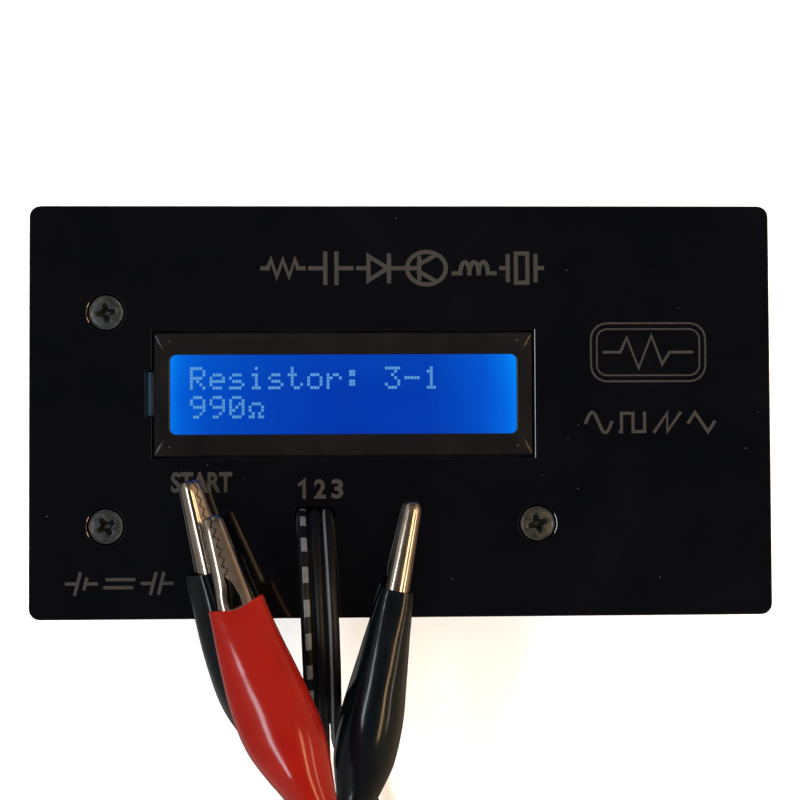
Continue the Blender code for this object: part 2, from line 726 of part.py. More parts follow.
def lcd_glass():
    margin = 2 * (BEZEL_SHEET + GAP)
    outline = centred_box((LCD_X, LCD_Y), BEZEL_WIDTH - margin, BEZEL_DEPTH - margin)
    look = material("lcd_blue")
    prism("lcd_glass", outline, BACKLIGHT_TOP + GAP, BEZEL_TOP - BEZEL_SHEET - GAP, look)


def lcd_backlight():
    """The light guide under the glass, with the tab that shows in the panel's notch."""
    look = material("light_guide")
    margin_x, margin_y = BACKLIGHT_MARGIN
    outline = centred_box((LCD_X, LCD_Y), BEZEL_WIDTH + margin_x, BEZEL_DEPTH + margin_y)
    obj = prism("lcd_backlight", outline, LCD_BOARD_TOP + GAP, BACKLIGHT_TOP, look)
    tab = bmesh.new()
    bezel_left = LCD_X - BEZEL_WIDTH / 2
    corner = (bezel_left - BACKLIGHT_TAB_REACH, NOTCH_Y - NOTCH_DEPTH / 2 + GAP)
    far_corner = (bezel_left - GAP, NOTCH_Y + NOTCH_DEPTH / 2 - GAP)
    add_prism(tab, box_outline(corner, far_corner), LCD_BOARD_TOP + OVERSHOOT, BACKLIGHT_TAB_TOP)
    boolean(obj, tab, "UNION")


def lcd_board():
    green = material("board_green")
    outline = centred_box((LCD_X, LCD_Y), LCD_BOARD_WIDTH, LCD_BOARD_DEPTH)
    obj = prism("lcd_board", outline, LCD_BOARD_TOP - BOARD_THICKNESS, LCD_BOARD_TOP, green)
    holes = bmesh.new()
    low, high = LCD_BOARD_TOP - BOARD_THICKNESS - OVERSHOOT, LCD_BOARD_TOP + OVERSHOOT
    for place in LCD_HOLE_PLACES:
        add_round(holes, LCD_HOLE_RADIUS, place, low, high, 10)
    boolean(obj, holes)


def lcd_header():
    """The 16-way pin header that joins the two boards, notched between its ways."""
    y = LCD_Y + LCD_BOARD_DEPTH / 2 - HEADER_FROM_BACK
    left = LCD_X - LCD_BOARD_WIDTH / 2 + HEADER_FROM_LEFT
    notch_x, notch_y = HEADER_NOTCH
    deep, shallow = HEADER_HALF_DEPTH, HEADER_HALF_DEPTH - notch_y
    front, back = [], []
    for way in range(HEADER_WAYS):
        x = left + way * TENTH_INCH
        end = x + TENTH_INCH
        front += [(x + notch_x, y - deep), (end - notch_x, y - deep), (end, y - shallow)]
        back += [(x, y + shallow), (x + notch_x, y + deep), (end - notch_x, y + deep)]
    far_corner = (left + HEADER_WAYS * TENTH_INCH, y + shallow)
    outline = [(left, y - shallow), *front, far_corner, *back[:0:-1]]
    black = material("header_plastic")
    prism("lcd_header", outline, ON_MAIN, LCD_BOARD_TOP - BOARD_THICKNESS - GAP, black)


# ---------------------------------------------------------------- main board


def main_board():
    green = material("board_green")
    outline = box_outline(MAIN_LOW_CORNER, MAIN_HIGH_CORNER)
    obj = prism("main_board", outline, MAIN_TOP - BOARD_THICKNESS, MAIN_TOP, green)
    low = MAIN_TOP - BOARD_THICKNESS - OVERSHOOT
    holes = bmesh.new()
    for place in PANEL_SCREW_PLACES:
        add_round(holes, CLEARANCE_RADIUS, place, low, MAIN_TOP + OVERSHOOT)
    boolean(obj, holes)


def microcontroller():
    """A 28-pin chip with stub legs, and the open socket that it sits in."""
    black = material("chip_plastic")
    socket_top = ON_MAIN + SOCKET_HEIGHT
    socket = prism("chip_socket", centred_box(CHIP_PLACE, *SOCKET_SIZE), ON_MAIN, socket_top, black)
    room = bmesh.new()
    opening = centred_box(CHIP_PLACE, *SOCKET_OPENING)
    add_prism(room, opening, ON_MAIN - OVERSHOOT, socket_top + OVERSHOOT)
    boolean(socket, room)
    half_length, half_width = CHIP_HALF_SIZE
    legs = []
    for leg in range(CHIP_LEGS_PER_SIDE):
        x = (leg - (CHIP_LEGS_PER_SIDE - 1) / 2) * TENTH_INCH
        legs += [
            (x - CHIP_LEG, -half_width),
            (x - CHIP_LEG, -half_width - CHIP_LEG),
            (x + CHIP_LEG, -half_width - CHIP_LEG),
            (x + CHIP_LEG, -half_width),
        ]
    lower = [(-half_length, -half_width), *legs, (half_length, -half_width)]
    outline = lower + [(-x, -y) for x, y in lower]
    outline = [(CHIP_PLACE[0] + x, CHIP_PLACE[1] + y) for x, y in outline]
    prism("microcontroller", outline, socket_top + GAP, socket_top + GAP + CHIP_HEIGHT, black)


def crystal():
    metal = material("can_metal")
    width, depth, height = CRYSTAL_SIZE
    outline = rounded_outline(width, depth, CRYSTAL_CORNER, 5, CRYSTAL_PLACE)
    prism("crystal", outline, ON_MAIN, ON_MAIN + height, metal, SMALL_BEVEL)


def smoothing_capacitor():
    sleeve = material("capacitor_sleeve")
    top = ON_MAIN + CAPACITOR_HEIGHT
    bm = bmesh.new()
    profile = [
        (CAPACITOR_RADIUS - CAPACITOR_EDGE, ON_MAIN),
        (CAPACITOR_RADIUS, ON_MAIN + CAPACITOR_EDGE),
        (CAPACITOR_RADIUS, top - CAPACITOR_EDGE),
        (CAPACITOR_RADIUS - CAPACITOR_EDGE, top),
    ]
    add_turned(bm, profile, CAPACITOR_PLACE, 16)
    put_in_scene("smoothing_capacitor", bm, sleeve)


def voltage_regulator():
    """A small D-shaped package on three legs."""
    black = material("chip_plastic")
    x, y = REGULATOR_PLACE
    start, end = REGULATOR_ARC
    steps = 10
    arc = [math.radians(start + (end - start) * i / steps) for i in range(steps + 1)]
    outline = [(x + REGULATOR_RADIUS * math.cos(a), y + REGULATOR_RADIUS * math.sin(a)) for a in arc]
    obj = prism("voltage_regulator", outline, ON_MAIN + REGULATOR_LOW, ON_MAIN + REGULATOR_HIGH, black)
    legs = bmesh.new()
    for leg in (-1, 0, 1):
        leg_place = (x + leg * REGULATOR_LEG_PITCH, y)
        leg_outline = centred_box(leg_place, REGULATOR_LEG_SIDE, REGULATOR_LEG_SIDE)
        add_prism(legs, leg_outline, ON_MAIN, ON_MAIN + REGULATOR_LOW + OVERSHOOT)
    boolean(obj, legs, "UNION")


def contrast_trimmer():
    """A square body with a round well, and the slotted rotor that turns in it."""
    blue = material("trimmer_blue")
    top = ON_MAIN + TRIMMER_HEIGHT
    floor = ON_MAIN + TRIMMER_WELL_FLOOR
    outline = centred_box(TRIMMER_PLACE, TRIMMER_SIDE, TRIMMER_SIDE)
    body = prism("trimmer_body", outline, ON_MAIN, top, blue)
    well = bmesh.new()
    add_round(well, TRIMMER_WELL_RADIUS, TRIMMER_PLACE, floor, top + OVERSHOOT, 20)
    boolean(body, well)
    white = material("rotor_white")
    rotor_top = top + ROTOR_PROUD
    outline = circle_outline(ROTOR_RADIUS, (0.0, 0.0), 20)
    rotor = prism("trimmer_rotor", outline, 0.0, rotor_top - floor - GAP, white)
    rotor.location = (*TRIMMER_PLACE, floor + GAP)
    slot_width, slot_length, slot_depth = ROTOR_SLOT
    slot = bmesh.new()
    slot_box = centred_box(TRIMMER_PLACE, slot_width, slot_length)
    add_prism(slot, slot_box, rotor_top - slot_depth, rotor_top + OVERSHOOT)
    boolean(rotor, slot)


def start_switch():
    """A press switch on the board, with a plunger that reaches through the panel."""
    black = material("switch_plastic")
    top = ON_MAIN + SWITCH_HEIGHT
    outline = centred_box(START_PLACE, SWITCH_SIDE, SWITCH_SIDE)
    body = prism("start_switch_body", outline, ON_MAIN, top, black)
    well = bmesh.new()
    add_round(well, START_RADIUS + GAP, START_PLACE, ON_MAIN + SWITCH_WELL_FLOOR, top + OVERSHOOT, 20)
    boolean(body, well)
    button_low = ON_MAIN + BUTTON_FOOT
    height = PANEL_TOP + START_PROUD - button_low
    profile = [
        (START_RADIUS, 0.0),
        (START_RADIUS, height - START_EDGE),
        (START_RADIUS - START_EDGE, height),
    ]
    bm = bmesh.new()
    add_turned(bm, profile, (0.0, 0.0), 20)
    button = put_in_scene("start_button", bm, material("button_plastic"))
    button.location = (*START_PLACE, button_low)


def lead_terminal():
    """The three-way terminal that the test leads are soldered to."""
    black = material("header_plastic")
    outline = centred_box(LEAD_EXIT, *TERMINAL_SIZE)
    prism("lead_terminal", outline, ON_MAIN, TERMINAL_TOP, black, SMALL_BEVEL)


# ---------------------------------------------------------------- battery


def battery():
    """A 9 V block with its two terminal studs at the back end."""
    foil = material("battery_foil")
    width, length, height = BATTERY_SIZE
    bm = bmesh.new()
    add_prism(bm, rounded_outline(width, height, BATTERY_CORNER), 0.0, length)
    obj = put_in_scene("battery", bm, foil)
    facing_back = Matrix.Translation(Vector(BATTERY_CENTRE) - Vector((0.0, length / 2, 0.0)))
    obj.matrix_world = facing_back @ Matrix.Rotation(math.radians(-90), 4, "X")
    studs = bmesh.new()
    for x, radius in zip((-STUD_X, STUD_X), STUD_RADII):
        add_round(studs, radius, (x, 0.0), length - OVERSHOOT, length + STUD_HEIGHT)
    studs.transform(obj.matrix_world)
    boolean(obj, studs, "UNION")


def battery_snap():
    """The plate that presses onto the battery's studs."""
    black = material("snap_vinyl")
    width, height, thickness = SNAP_SIZE
    start = BATTERY_SIZE[1] / 2 + GAP
    to_back = Matrix.Translation(Vector(BATTERY_CENTRE)) @ Matrix.Rotation(math.radians(-90), 4, "X")
    bm = bmesh.new()
    add_prism(bm, rounded_outline(width, height, SNAP_CORNER), start, start + thickness)
    obj = put_in_scene("battery_snap", bm, black)
    obj.matrix_world = to_back
    cups = bmesh.new()
    for x in (-STUD_X, STUD_X):
        add_round(cups, CUP_RADIUS, (x, 0.0), start - OVERSHOOT, start + CUP_DEPTH)
    cups.transform(to_back)
    boolean(obj, cups)


def battery_leads():
    for name, route in BATTERY_LEADS.items():
        path = smooth_route(route, BATTERY_LEAD_POINTS)
        tube(name, path, BATTERY_LEAD_RADIUS, material(name), 1)


# ---------------------------------------------------------------- clips


def clip_frame(name, tip, behind, roll):
    """An empty on the pivot: +Y to the jaws' tip, +X along the hinge pin, +Z to the moving jaw."""
    to_tip = (Vector(tip) - Vector(behind)).normalized()
    level = to_tip.cross(Vector((0, 0, 1))).normalized()
    upright = level.cross(to_tip)
    turn = math.radians(roll)
    pin = math.cos(turn) * level + math.sin(turn) * upright
    opening = math.cos(turn) * upright - math.sin(turn) * level
    frame = Matrix((pin, to_tip, opening)).transposed().to_4x4()
    frame.translation = Vector(tip) - to_tip * CLIP_PIVOT
    empty = bpy.data.objects.new(f"{name}_frame", None)
    bpy.context.scene.collection.objects.link(empty)
    empty.matrix_world = frame
    return empty


def between(table, distance):
    """The values of a table's rows at a distance, in straight lines between its rows."""
    for (d0, *low), (d1, *high) in zip(table, table[1:]):
        if distance <= d1:
            share = (distance - d0) / (d1 - d0)
            return [a + (b - a) * share for a, b in zip(low, high)]
    return table[-1][1:]


def tooth_wave(distance):
    """The zigzag of the jaws' meeting edges."""
    if not TEETH_START <= distance <= TEETH_END:
        return 0.0
    phase = (distance - TEETH_START) / TOOTH_PITCH % 1.0
    return TOOTH_HEIGHT * (1 - 4 * abs(phase - 0.5))


def jaw_sections(moving):
    """Rows of (distance, half width, crown, edge) that shape one jaw's channel."""
    widths = MOVING_WIDTH if moving else FIXED_WIDTH
    tooth_count = round(2 * (TEETH_END - TEETH_START) / TOOTH_PITCH)
    stations = [row[0] for row in JAW_NOSE[:-1]]
    stations += [TEETH_START + i * TOOTH_PITCH / 2 for i in range(tooth_count + 1)]
    stations += [row[0] for row in JAW_EDGE if row[0] > TEETH_END]
    sections = []
    for distance in sorted(stations):
        half_width, crown, edge = (between(t, distance)[0] for t in (widths, JAW_CROWN, JAW_EDGE))
        wave = tooth_wave(distance)
        sections.append((distance, half_width, crown, edge + (wave if moving else -wave)))
    return sections


def channel_side(width, top, edge):
    side = []
    for across, drop in CHANNEL_SHAPE:
        height = edge if drop is None else max(top - drop * width, edge + LEAST_SIDE)
        side.append((across * width, height))
    return side


def jaw(name, frame, moving, metal):
    """One stamped jaw: toothed nose, ears around the pin, and a splayed handle."""
    bm = bmesh.new()
    side = 1 if moving else -1
    rings = []
    for distance, half_width, crown, edge in jaw_sections(moving):
        place = CLIP_PIVOT - distance
        skins = []
        for sheet in (0.0, JAW_SHEET):
            points = channel_side(half_width - sheet, crown - sheet, edge)
            skins.append([bm.verts.new((x, place, side * h)) for x, h in points])
        rings.append(skins)
    count = len(rings[0][0])
    for (outer_a, inner_a), (outer_b, inner_b) in zip(rings, rings[1:]):
        for i in range(count - 1):
            bm.faces.new((outer_a[i], outer_a[i + 1], outer_b[i + 1], outer_b[i]))
            bm.faces.new((inner_a[i + 1], inner_a[i], inner_b[i], inner_b[i + 1]))
        for i in (0, count - 1):
            bm.faces.new((outer_a[i], outer_b[i], inner_b[i], inner_a[i]))
    for outer, inner in (rings[0], rings[-1]):
        for i in range(count - 1):
            bm.faces.new((outer[i], inner[i], inner[i + 1], outer[i + 1]))
    obj = put_in_scene(name, bm, metal)
    obj.parent = frame
    hole = bmesh.new()
    half_length = JAW_CUTTER_HALF_LENGTH
    add_round(hole, PIN_RADIUS + GAP, (0.0, 0.0), -half_length, half_length)
    hole.transform(frame.matrix_world @ Matrix.Rotation(math.radians(90), 4, "Y"))
    boolean(obj, hole)


def bend_at(frame, bend, distance):
    """How far, across the clip's own axes, the boot's centre line has left the clip's axis."""
    across = frame.matrix_world.to_3x3().inverted() @ Vector((bend, 0.0, 0.0))
    share = (max(0.0, distance - BOOT_START) / (BOOT_END - BOOT_START)) ** 2
    return across.x * share, across.z * share


def section_ring(bm, distance, half_width, half_height, squareness, centre, sides=16):
    """One ring of a boot: an oval that squareness turns into a rounded slot."""
    ring = []
    for i in range(sides):
        angle = 2 * math.pi * i / sides
        c, s = math.cos(angle), math.sin(angle)
        x = math.copysign(half_width * abs(c) ** (2 / squareness), c)
        z = math.copysign(half_height * abs(s) ** (2 / squareness), s)
        ring.append(bm.verts.new((centre[0] + x, CLIP_PIVOT - distance, centre[1] + z)))
    return ring


def boot(name, frame, bend, vinyl):
    """The soft cover: open at the mouth, swollen over the handles, and drawn in around the lead."""
    bm = bmesh.new()
    rings = []
    for row in BOOT_OUTSIDE + BOOT_INSIDE:
        rings.append(section_ring(bm, *row, bend_at(frame, bend, row[0])))
    sides = len(rings[0])
    for a, b in zip(rings, rings[1:] + rings[:1]):
        for i in range(sides):
            j = (i + 1) % sides
            bm.faces.new((a[i], a[j], b[j], b[i]))
    put_in_scene(name, bm, vinyl, 50.0).parent = frame


def pivot_pin(name, frame, metal):
    bm = bmesh.new()
    add_round(bm, PIN_RADIUS, (0.0, 0.0), -PIN_HALF_LENGTH, PIN_HALF_LENGTH)
    bm.transform(Matrix.Rotation(math.radians(90), 4, "Y"))
    put_in_scene(name, bm, metal).parent = frame


def jaw_spring(name, frame, metal):
    """A torsion spring round the pin, with one leg under each handle."""
    steps = SPRING_STEPS_PER_TURN * SPRING_TURNS
    half_width, leg_end = SPRING_HALF_WIDTH, SPRING_LEG_END
    leg_angle = math.atan2(leg_end[1], leg_end[0])
    start = leg_angle - math.pi / 2
    sweep = 2 * math.pi * SPRING_TURNS - 2 * start
    route = [(-half_width, leg_end[0], leg_end[1])]
    for step in range(steps + 1):
        angle = start + sweep * step / steps
        x = half_width * (2 * step / steps - 1)
        route.append((x, SPRING_RADIUS * math.cos(angle), SPRING_RADIUS * math.sin(angle)))
    route.append((half_width, leg_end[0], -leg_end[1]))
    tube(name, route, SPRING_WIRE, metal, 1).parent = frame


def lead_end_in_clip(frame, bend):
    """The lead's last points: in through the boot's tail, then down into the fixed handle."""
    points = []
    for distance, height in LEAD_IN_BOOT:
        x, z = bend_at(frame, bend, distance)
        points.append((x, CLIP_PIVOT - distance, z + height))
    points += [(0.0, CLIP_PIVOT - distance, height) for distance, height in LEAD_IN_HANDLE]
    return [frame.matrix_world @ Vector(point) for point in points]


def clips_and_leads():
    metal = material("clip_nickel")
    spring_steel = material("spring_steel")
    lead_black = material("lead_vinyl")
    for number, (clip, loop) in enumerate(zip(CLIPS, LEAD_LOOPS), 1):
        name, tip, behind, roll, bend = clip
        frame = clip_frame(name, tip, behind, roll)
        jaw(f"{name}_fixed_jaw", frame, False, metal)
        jaw(f"{name}_moving_jaw", frame, True, metal)
        pivot_pin(f"{name}_pivot_pin", frame, metal)
        jaw_spring(f"{name}_spring", frame, spring_steel)
        boot(f"{name}_boot", frame, bend, material(f"boot_vinyl_{number}"))
        beside = (number - 2) * LEAD_PITCH
        ribbon = [(x + beside, y, z) for x, y, z in RIBBON_ROUTE]
        whole = ribbon + loop + lead_end_in_clip(frame, bend)
        tube(f"test_lead_{number}", smooth_route(whole, LEAD_POINTS), LEAD_RADIUS, lead_black)


def build():
    clear_scene()
    face_panel()
    case_frame()
    rear_cover()
    rubber_feet()
    panel_screws()
    standoffs()
    board_nuts()
    cover_screws()
    lcd_bezel()
    lcd_glass()
    lcd_backlight()
    lcd_board()
    lcd_header()
    main_board()
    microcontroller()
    crystal()
    smoothing_capacitor()
    voltage_regulator()
    contrast_trimmer()
    start_switch()
    lead_terminal()
    battery()
    battery_snap()
    battery_leads()
    clips_and_leads()


build()
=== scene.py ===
"""Component tester with a two-line display and three clip leads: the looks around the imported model."""

import math

import bmesh
import bpy
from mathutils import Matrix, Vector, noise


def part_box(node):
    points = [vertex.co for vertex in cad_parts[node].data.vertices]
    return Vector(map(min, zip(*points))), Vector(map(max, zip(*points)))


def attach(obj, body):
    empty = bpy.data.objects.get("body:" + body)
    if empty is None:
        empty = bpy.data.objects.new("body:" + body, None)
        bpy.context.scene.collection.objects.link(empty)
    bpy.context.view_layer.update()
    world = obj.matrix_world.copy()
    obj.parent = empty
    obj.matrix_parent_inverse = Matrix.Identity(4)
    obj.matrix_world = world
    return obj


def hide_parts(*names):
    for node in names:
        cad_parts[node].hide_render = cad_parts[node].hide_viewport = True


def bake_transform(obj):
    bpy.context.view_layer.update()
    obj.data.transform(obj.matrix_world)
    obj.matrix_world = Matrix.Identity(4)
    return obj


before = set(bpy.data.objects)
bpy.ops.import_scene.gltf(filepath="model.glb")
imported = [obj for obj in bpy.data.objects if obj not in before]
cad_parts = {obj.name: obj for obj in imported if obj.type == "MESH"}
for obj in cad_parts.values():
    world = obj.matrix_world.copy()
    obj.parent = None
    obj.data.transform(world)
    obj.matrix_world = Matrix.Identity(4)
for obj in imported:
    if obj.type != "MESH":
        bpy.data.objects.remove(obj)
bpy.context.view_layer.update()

TESTER = "tester"
PANEL_LOW, PANEL_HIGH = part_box("face_panel")
PANEL_TOP = PANEL_HIGH.z
PANEL_BACK = PANEL_LOW.z


def link(name, data):
    """Puts a mesh, curve, light or camera into the scene."""
    obj = bpy.data.objects.new(name, data)
    bpy.context.scene.collection.objects.link(obj)
    return obj


# ---- camera

CAMERA_ABOVE_PANEL = 0.280
CAMERA_PLACE = (-0.01008, -0.00601, PANEL_TOP + CAMERA_ABOVE_PANEL)
CAMERA_TURN = (1.652, -1.958, -0.271)  # degrees away from looking straight down
LENS = 68.26
SENSOR = 36.0


def add_camera():
    data = bpy.data.cameras.new("camera")
    data.lens = LENS
    data.sensor_width = SENSOR
    data.clip_start = 0.01
    data.clip_end = 50.0
    obj = link("camera", data)
    x, y, z = (math.radians(a) for a in CAMERA_TURN)
    turn = Matrix.Rotation(z, 4, "Z") @ Matrix.Rotation(y, 4, "Y") @ Matrix.Rotation(x, 4, "X")
    obj.matrix_world = Matrix.Translation(CAMERA_PLACE) @ turn
    bpy.context.scene.camera = obj


# ---- mesh helpers

WELD_DISTANCE = 0.000002
CURVE_STEPS = 24
OVERSHOOT = 0.15  # how far a smooth table may swing past its rows

def new_object(name, bm, looks, sharp_degrees=35.0):
    """The object of a bmesh, shaded smooth except across its sharp edges."""
    bmesh.ops.recalc_face_normals(bm, faces=bm.faces)
    mesh = bpy.data.meshes.new(name)
    bm.to_mesh(mesh)
    bm.free()
    mesh.shade_smooth()
    mesh.set_sharp_from_angle(angle=math.radians(sharp_degrees))
    for look in looks if isinstance(looks, list) else [looks]:
        mesh.materials.append(look)
    return link(name, mesh)


def apply_modifiers(obj):
    depsgraph = bpy.context.evaluated_depsgraph_get()
    made = bpy.data.meshes.new_from_object(obj.evaluated_get(depsgraph))
    obj.modifiers.clear()
    plain = obj.data
    obj.data = made
    bpy.data.meshes.remove(plain)
    made.name = obj.name


def cut_out(obj, tool_bm):
    """Takes the tool's solids out of obj."""
    tool = new_object(f"{obj.name}_tool", tool_bm, obj.data.materials[0])
    step = obj.modifiers.new("cut", "BOOLEAN")
    step.operation = "DIFFERENCE"
    step.object = tool
    bpy.context.view_layer.update()
    apply_modifiers(obj)
    bpy.data.objects.remove(tool, do_unlink=True)


def bevel_edges(obj, width, segments=2, degrees=30.0):
    step = obj.modifiers.new("bevel", "BEVEL")
    step.width = width
    step.segments = segments
    step.limit_method = "ANGLE"
    step.angle_limit = math.radians(degrees)
    step.harden_normals = False
    return step


def rounded_outline(width, depth, radius, steps=6, centre=(0.0, 0.0)):
    """Points of a rectangle with round corners, anticlockwise."""
    points = []
    for quarter, (sx, sy) in enumerate([(1, 1), (-1, 1), (-1, -1), (1, -1)]):
        cx = centre[0] + sx * (width / 2 - radius)
        cy = centre[1] + sy * (depth / 2 - radius)
        for step in range(steps + 1):
            angle = math.radians(90 * quarter + 90 * step / steps)
            points.append((cx + radius * math.cos(angle), cy + radius * math.sin(angle)))
    return points


def add_ring(bm, outline, height):
    """Vertices of an outline in XY at a height."""
    return [bm.verts.new((x, y, height)) for x, y in outline]


def add_prism(bm, outline, low, high):
    """A straight-sided solid on an outline in XY."""
    below, above = add_ring(bm, outline, low), add_ring(bm, outline, high)
    bm.faces.new(below[::-1])
    bm.faces.new(above)
    loft(bm, [below, above], False)


def circle_outline(radius, centre, sides):
    angles = [2 * math.pi * i / sides for i in range(sides)]
    return [(centre[0] + radius * math.cos(a), centre[1] + radius * math.sin(a)) for a in angles]


def loft(bm, rings, cap_ends=True):
    """Joins rings of vertices that have the same count, and returns the faces between them."""
    count = len(rings[0])
    faces = []
    for below, above in zip(rings, rings[1:]):
        for i in range(count):
            j = (i + 1) % count
            faces.append(bm.faces.new((below[i], below[j], above[j], above[i])))
    if cap_ends:
        bm.faces.new(rings[0][::-1])
        bm.faces.new(rings[-1])
    return faces


def catmull(a, b, c, d, t):
    return 0.5 * (2 * b + (c - a) * t + (2 * a - 5 * b + 4 * c - d) * t**2 + (3 * b - a - 3 * c + d) * t**3)


def smooth_route(points, count):
    """Evenly spaced points of the smooth curve through the given ones."""
    given = [Vector(p) for p in points]
    padded = [2 * given[0] - given[1], *given, 2 * given[-1] - given[-2]]
    dense = []
    for a, b, c, d in zip(padded, padded[1:], padded[2:], padded[3:]):
        dense += [catmull(a, b, c, d, i / CURVE_STEPS) for i in range(CURVE_STEPS)]
    dense.append(given[-1])
    travelled = [0.0]
    for p, q in zip(dense, dense[1:]):
        travelled.append(travelled[-1] + (q - p).length)
    even, k = [], 0
    for i in range(count):
        want = travelled[-1] * i / (count - 1)
        while k < len(dense) - 2 and travelled[k + 1] < want:
            k += 1
        share = (want - travelled[k]) / (travelled[k + 1] - travelled[k])
        even.append(dense[k].lerp(dense[k + 1], min(share, 1.0)))
    return even


def route_length(points):
    return sum((q - p).length for p, q in zip(points, points[1:]))


def smooth_table(table, distance):
    """Values of a table's rows at a distance, on a smooth curve through its rows."""
    last = len(table) - 2
    index = 0
    while index < last and distance > table[index + 1][0]:
        index += 1
    rows = [table[max(0, index - 1)], table[index], table[index + 1], table[min(len(table) - 1, index + 2)]]
    t = (distance - rows[1][0]) / (rows[2][0] - rows[1][0])
    t = min(max(t, 0.0), 1.0)
    values = []
    for a, b, c, d in zip(*[row[1:] for row in rows]):
        low, high = min(b, c), max(b, c)
        slack = OVERSHOOT * (high - low)
        values.append(min(max(catmull(a, b, c, d, t), low - slack), high + slack))
    return values


# ---- material helpers


class Nodes:
    """A node tree and the few patterns that the looks share. Lengths are in metres."""

    def __init__(self, tree):
        self.tree = tree

    def feed(self, socket, value):
        """Links an output to a socket, or sets the socket's own value."""
        if isinstance(value, bpy.types.NodeSocket):
            self.tree.links.new(value, socket)
        else:
            socket.default_value = value

    def add(self, kind, inputs=(), **settings):
        node = self.tree.nodes.new(kind)
        for key, value in settings.items():
            setattr(node, key, value)
        for key, value in dict(inputs).items():
            self.feed(node.inputs[key], value)
        return node

    def ramp(self, value, stops):
        """Colours along a value. Each stop is (position, colour or grey)."""
        node = self.add("ShaderNodeValToRGB", {"Fac": value})
        elements = node.color_ramp.elements
        while len(elements) < len(stops):
            elements.new(0.5)
        for element, (position, colour) in zip(elements, stops):
            element.position = position
            element.color = (colour,) * 3 + (1.0,) if isinstance(colour, float) else (*colour, 1.0)
        return node.outputs["Color"]

    def mix(self, share, first, second, blend="MIX"):
        node = self.add("ShaderNodeMix", {0: share}, data_type="RGBA", blend_type=blend)
        for index, colour in ((6, first), (7, second)):
            self.feed(node.inputs[index], (*colour, 1.0) if isinstance(colour, tuple) else colour)
        return node.outputs[2]

    def math(self, operation, a, b, clamp=False):
        return self.add("ShaderNodeMath", {0: a, 1: b}, operation=operation, use_clamp=clamp).outputs[0]


class Look(Nodes):
    """A material, whose patterns lie in the object's own space."""

    def __init__(self, name, colour, roughness, metallic=0.0, **sockets):
        self.material = bpy.data.materials.new(name)
        self.material.use_nodes = True
        super().__init__(self.material.node_tree)
        self.shader = self.tree.nodes["Principled BSDF"]
        self.shader.inputs["Base Color"].default_value = (*colour, 1.0)
        self.shader.inputs["Roughness"].default_value = roughness
        self.shader.inputs["Metallic"].default_value = metallic
        for socket, value in sockets.items():
            self.shader.inputs[socket.replace("_", " ")].default_value = value
        self.place = self.add("ShaderNodeTexCoord").outputs["Object"]

    def stretched(self, scale, turn=(0.0, 0.0, 0.0)):
        """Coordinates scaled by axis, for grain that runs one way."""
        node = self.add("ShaderNodeMapping", {"Vector": self.place, "Scale": scale, "Rotation": turn})
        return node.outputs["Vector"]

    def noise(self, size, detail=4.0, roughness=0.55, place=None, distortion=0.0):
        settings = {"Scale": 1.0 / size, "Detail": detail, "Roughness": roughness, "Distortion": distortion}
        return self.add("ShaderNodeTexNoise", {"Vector": place or self.place, **settings}).outputs["Fac"]

    def axis(self, letter):
        return self.add("ShaderNodeSeparateXYZ", {"Vector": self.place}).outputs[letter]

    def share_across(self, letter, start, end):
        """How far a point is from start to end along an axis, from 0 to 1."""
        return self.math("DIVIDE", self.math("SUBTRACT", self.axis(letter), start), end - start)

    def set(self, socket, value):
        self.tree.links.new(value, self.shader.inputs[socket])

    def vary(self, socket, pattern, *stops):
        """The socket's value or colour follows a pattern, from stop to stop."""
        self.set(socket, self.ramp(pattern, stops))

    def glow(self, colour=None):
        """Gives off its emission colour at full strength."""
        if colour is not None:
            self.set("Emission Color", colour)
        self.shader.inputs["Emission Strength"].default_value = 1.0

    def bump(self, height, distance, strength=1.0, normal=None):
        inputs = {"Height": height, "Distance": distance, "Strength": strength}
        if normal:
            inputs["Normal"] = normal
        node = self.add("ShaderNodeBump", inputs)
        self.set("Normal", node.outputs["Normal"])
        return node.outputs["Normal"]


def grained(name, colour, roughness, grain, relief, metallic=0.0, spread=0.25, wear=0.08):
    """Plastic, rubber or metal with uneven colour, a fine surface grain and patchy gloss."""
    look = Look(name, colour, roughness, metallic)
    darker = tuple(c * (1 - spread) for c in colour)
    lighter = tuple(min(1.0, c * (1 + spread)) for c in colour)
    look.vary("Base Color", look.noise(grain * 25, 3.0), (0.3, darker), (0.7, lighter))
    look.vary("Roughness", look.noise(grain * 9), (0.3, max(0.02, roughness - wear)), (0.7, roughness + wear))
    look.bump(look.noise(grain, 2.0), relief, 0.6)
    return look.material


def acrylic_look():
    """Polished black acrylic: faint wiping marks, hairline scratches and settled dust."""
    look = Look("polished_acrylic", (0.0012, 0.0015, 0.0022), 0.05, IOR=1.49)
    cloudy = look.noise(0.022, 5.0, 0.6, distortion=0.6)
    cells = look.add("ShaderNodeTexVoronoi", {"Vector": look.place, "Scale": 420.0, "Randomness": 1.0})
    speck = look.ramp(cells.outputs["Distance"], [(0.0, 1.0), (0.07, 0.0)])
    chosen = look.ramp(cells.outputs["Color"], [(0.80, 0.0), (0.84, 1.0)])
    dust = look.mix(1.0, speck, chosen, "MULTIPLY")
    base = look.ramp(cloudy, [(0.35, (0.0008, 0.0010, 0.0018)), (0.75, (0.0018, 0.0020, 0.0028))])
    look.set("Base Color", look.mix(dust, base, (0.05, 0.048, 0.046)))
    gloss = look.ramp(cloudy, [(0.3, 0.035), (0.8, 0.11)])
    look.set("Roughness", look.mix(dust, gloss, (0.7, 0.7, 0.7)))
    hairline = look.noise(0.0009, 3.0, 0.5, look.stretched((1.0, 0.04, 1.0), (0.0, 0.0, 0.35)))
    look.bump(hairline, 0.000002, 0.35)
    return look.material


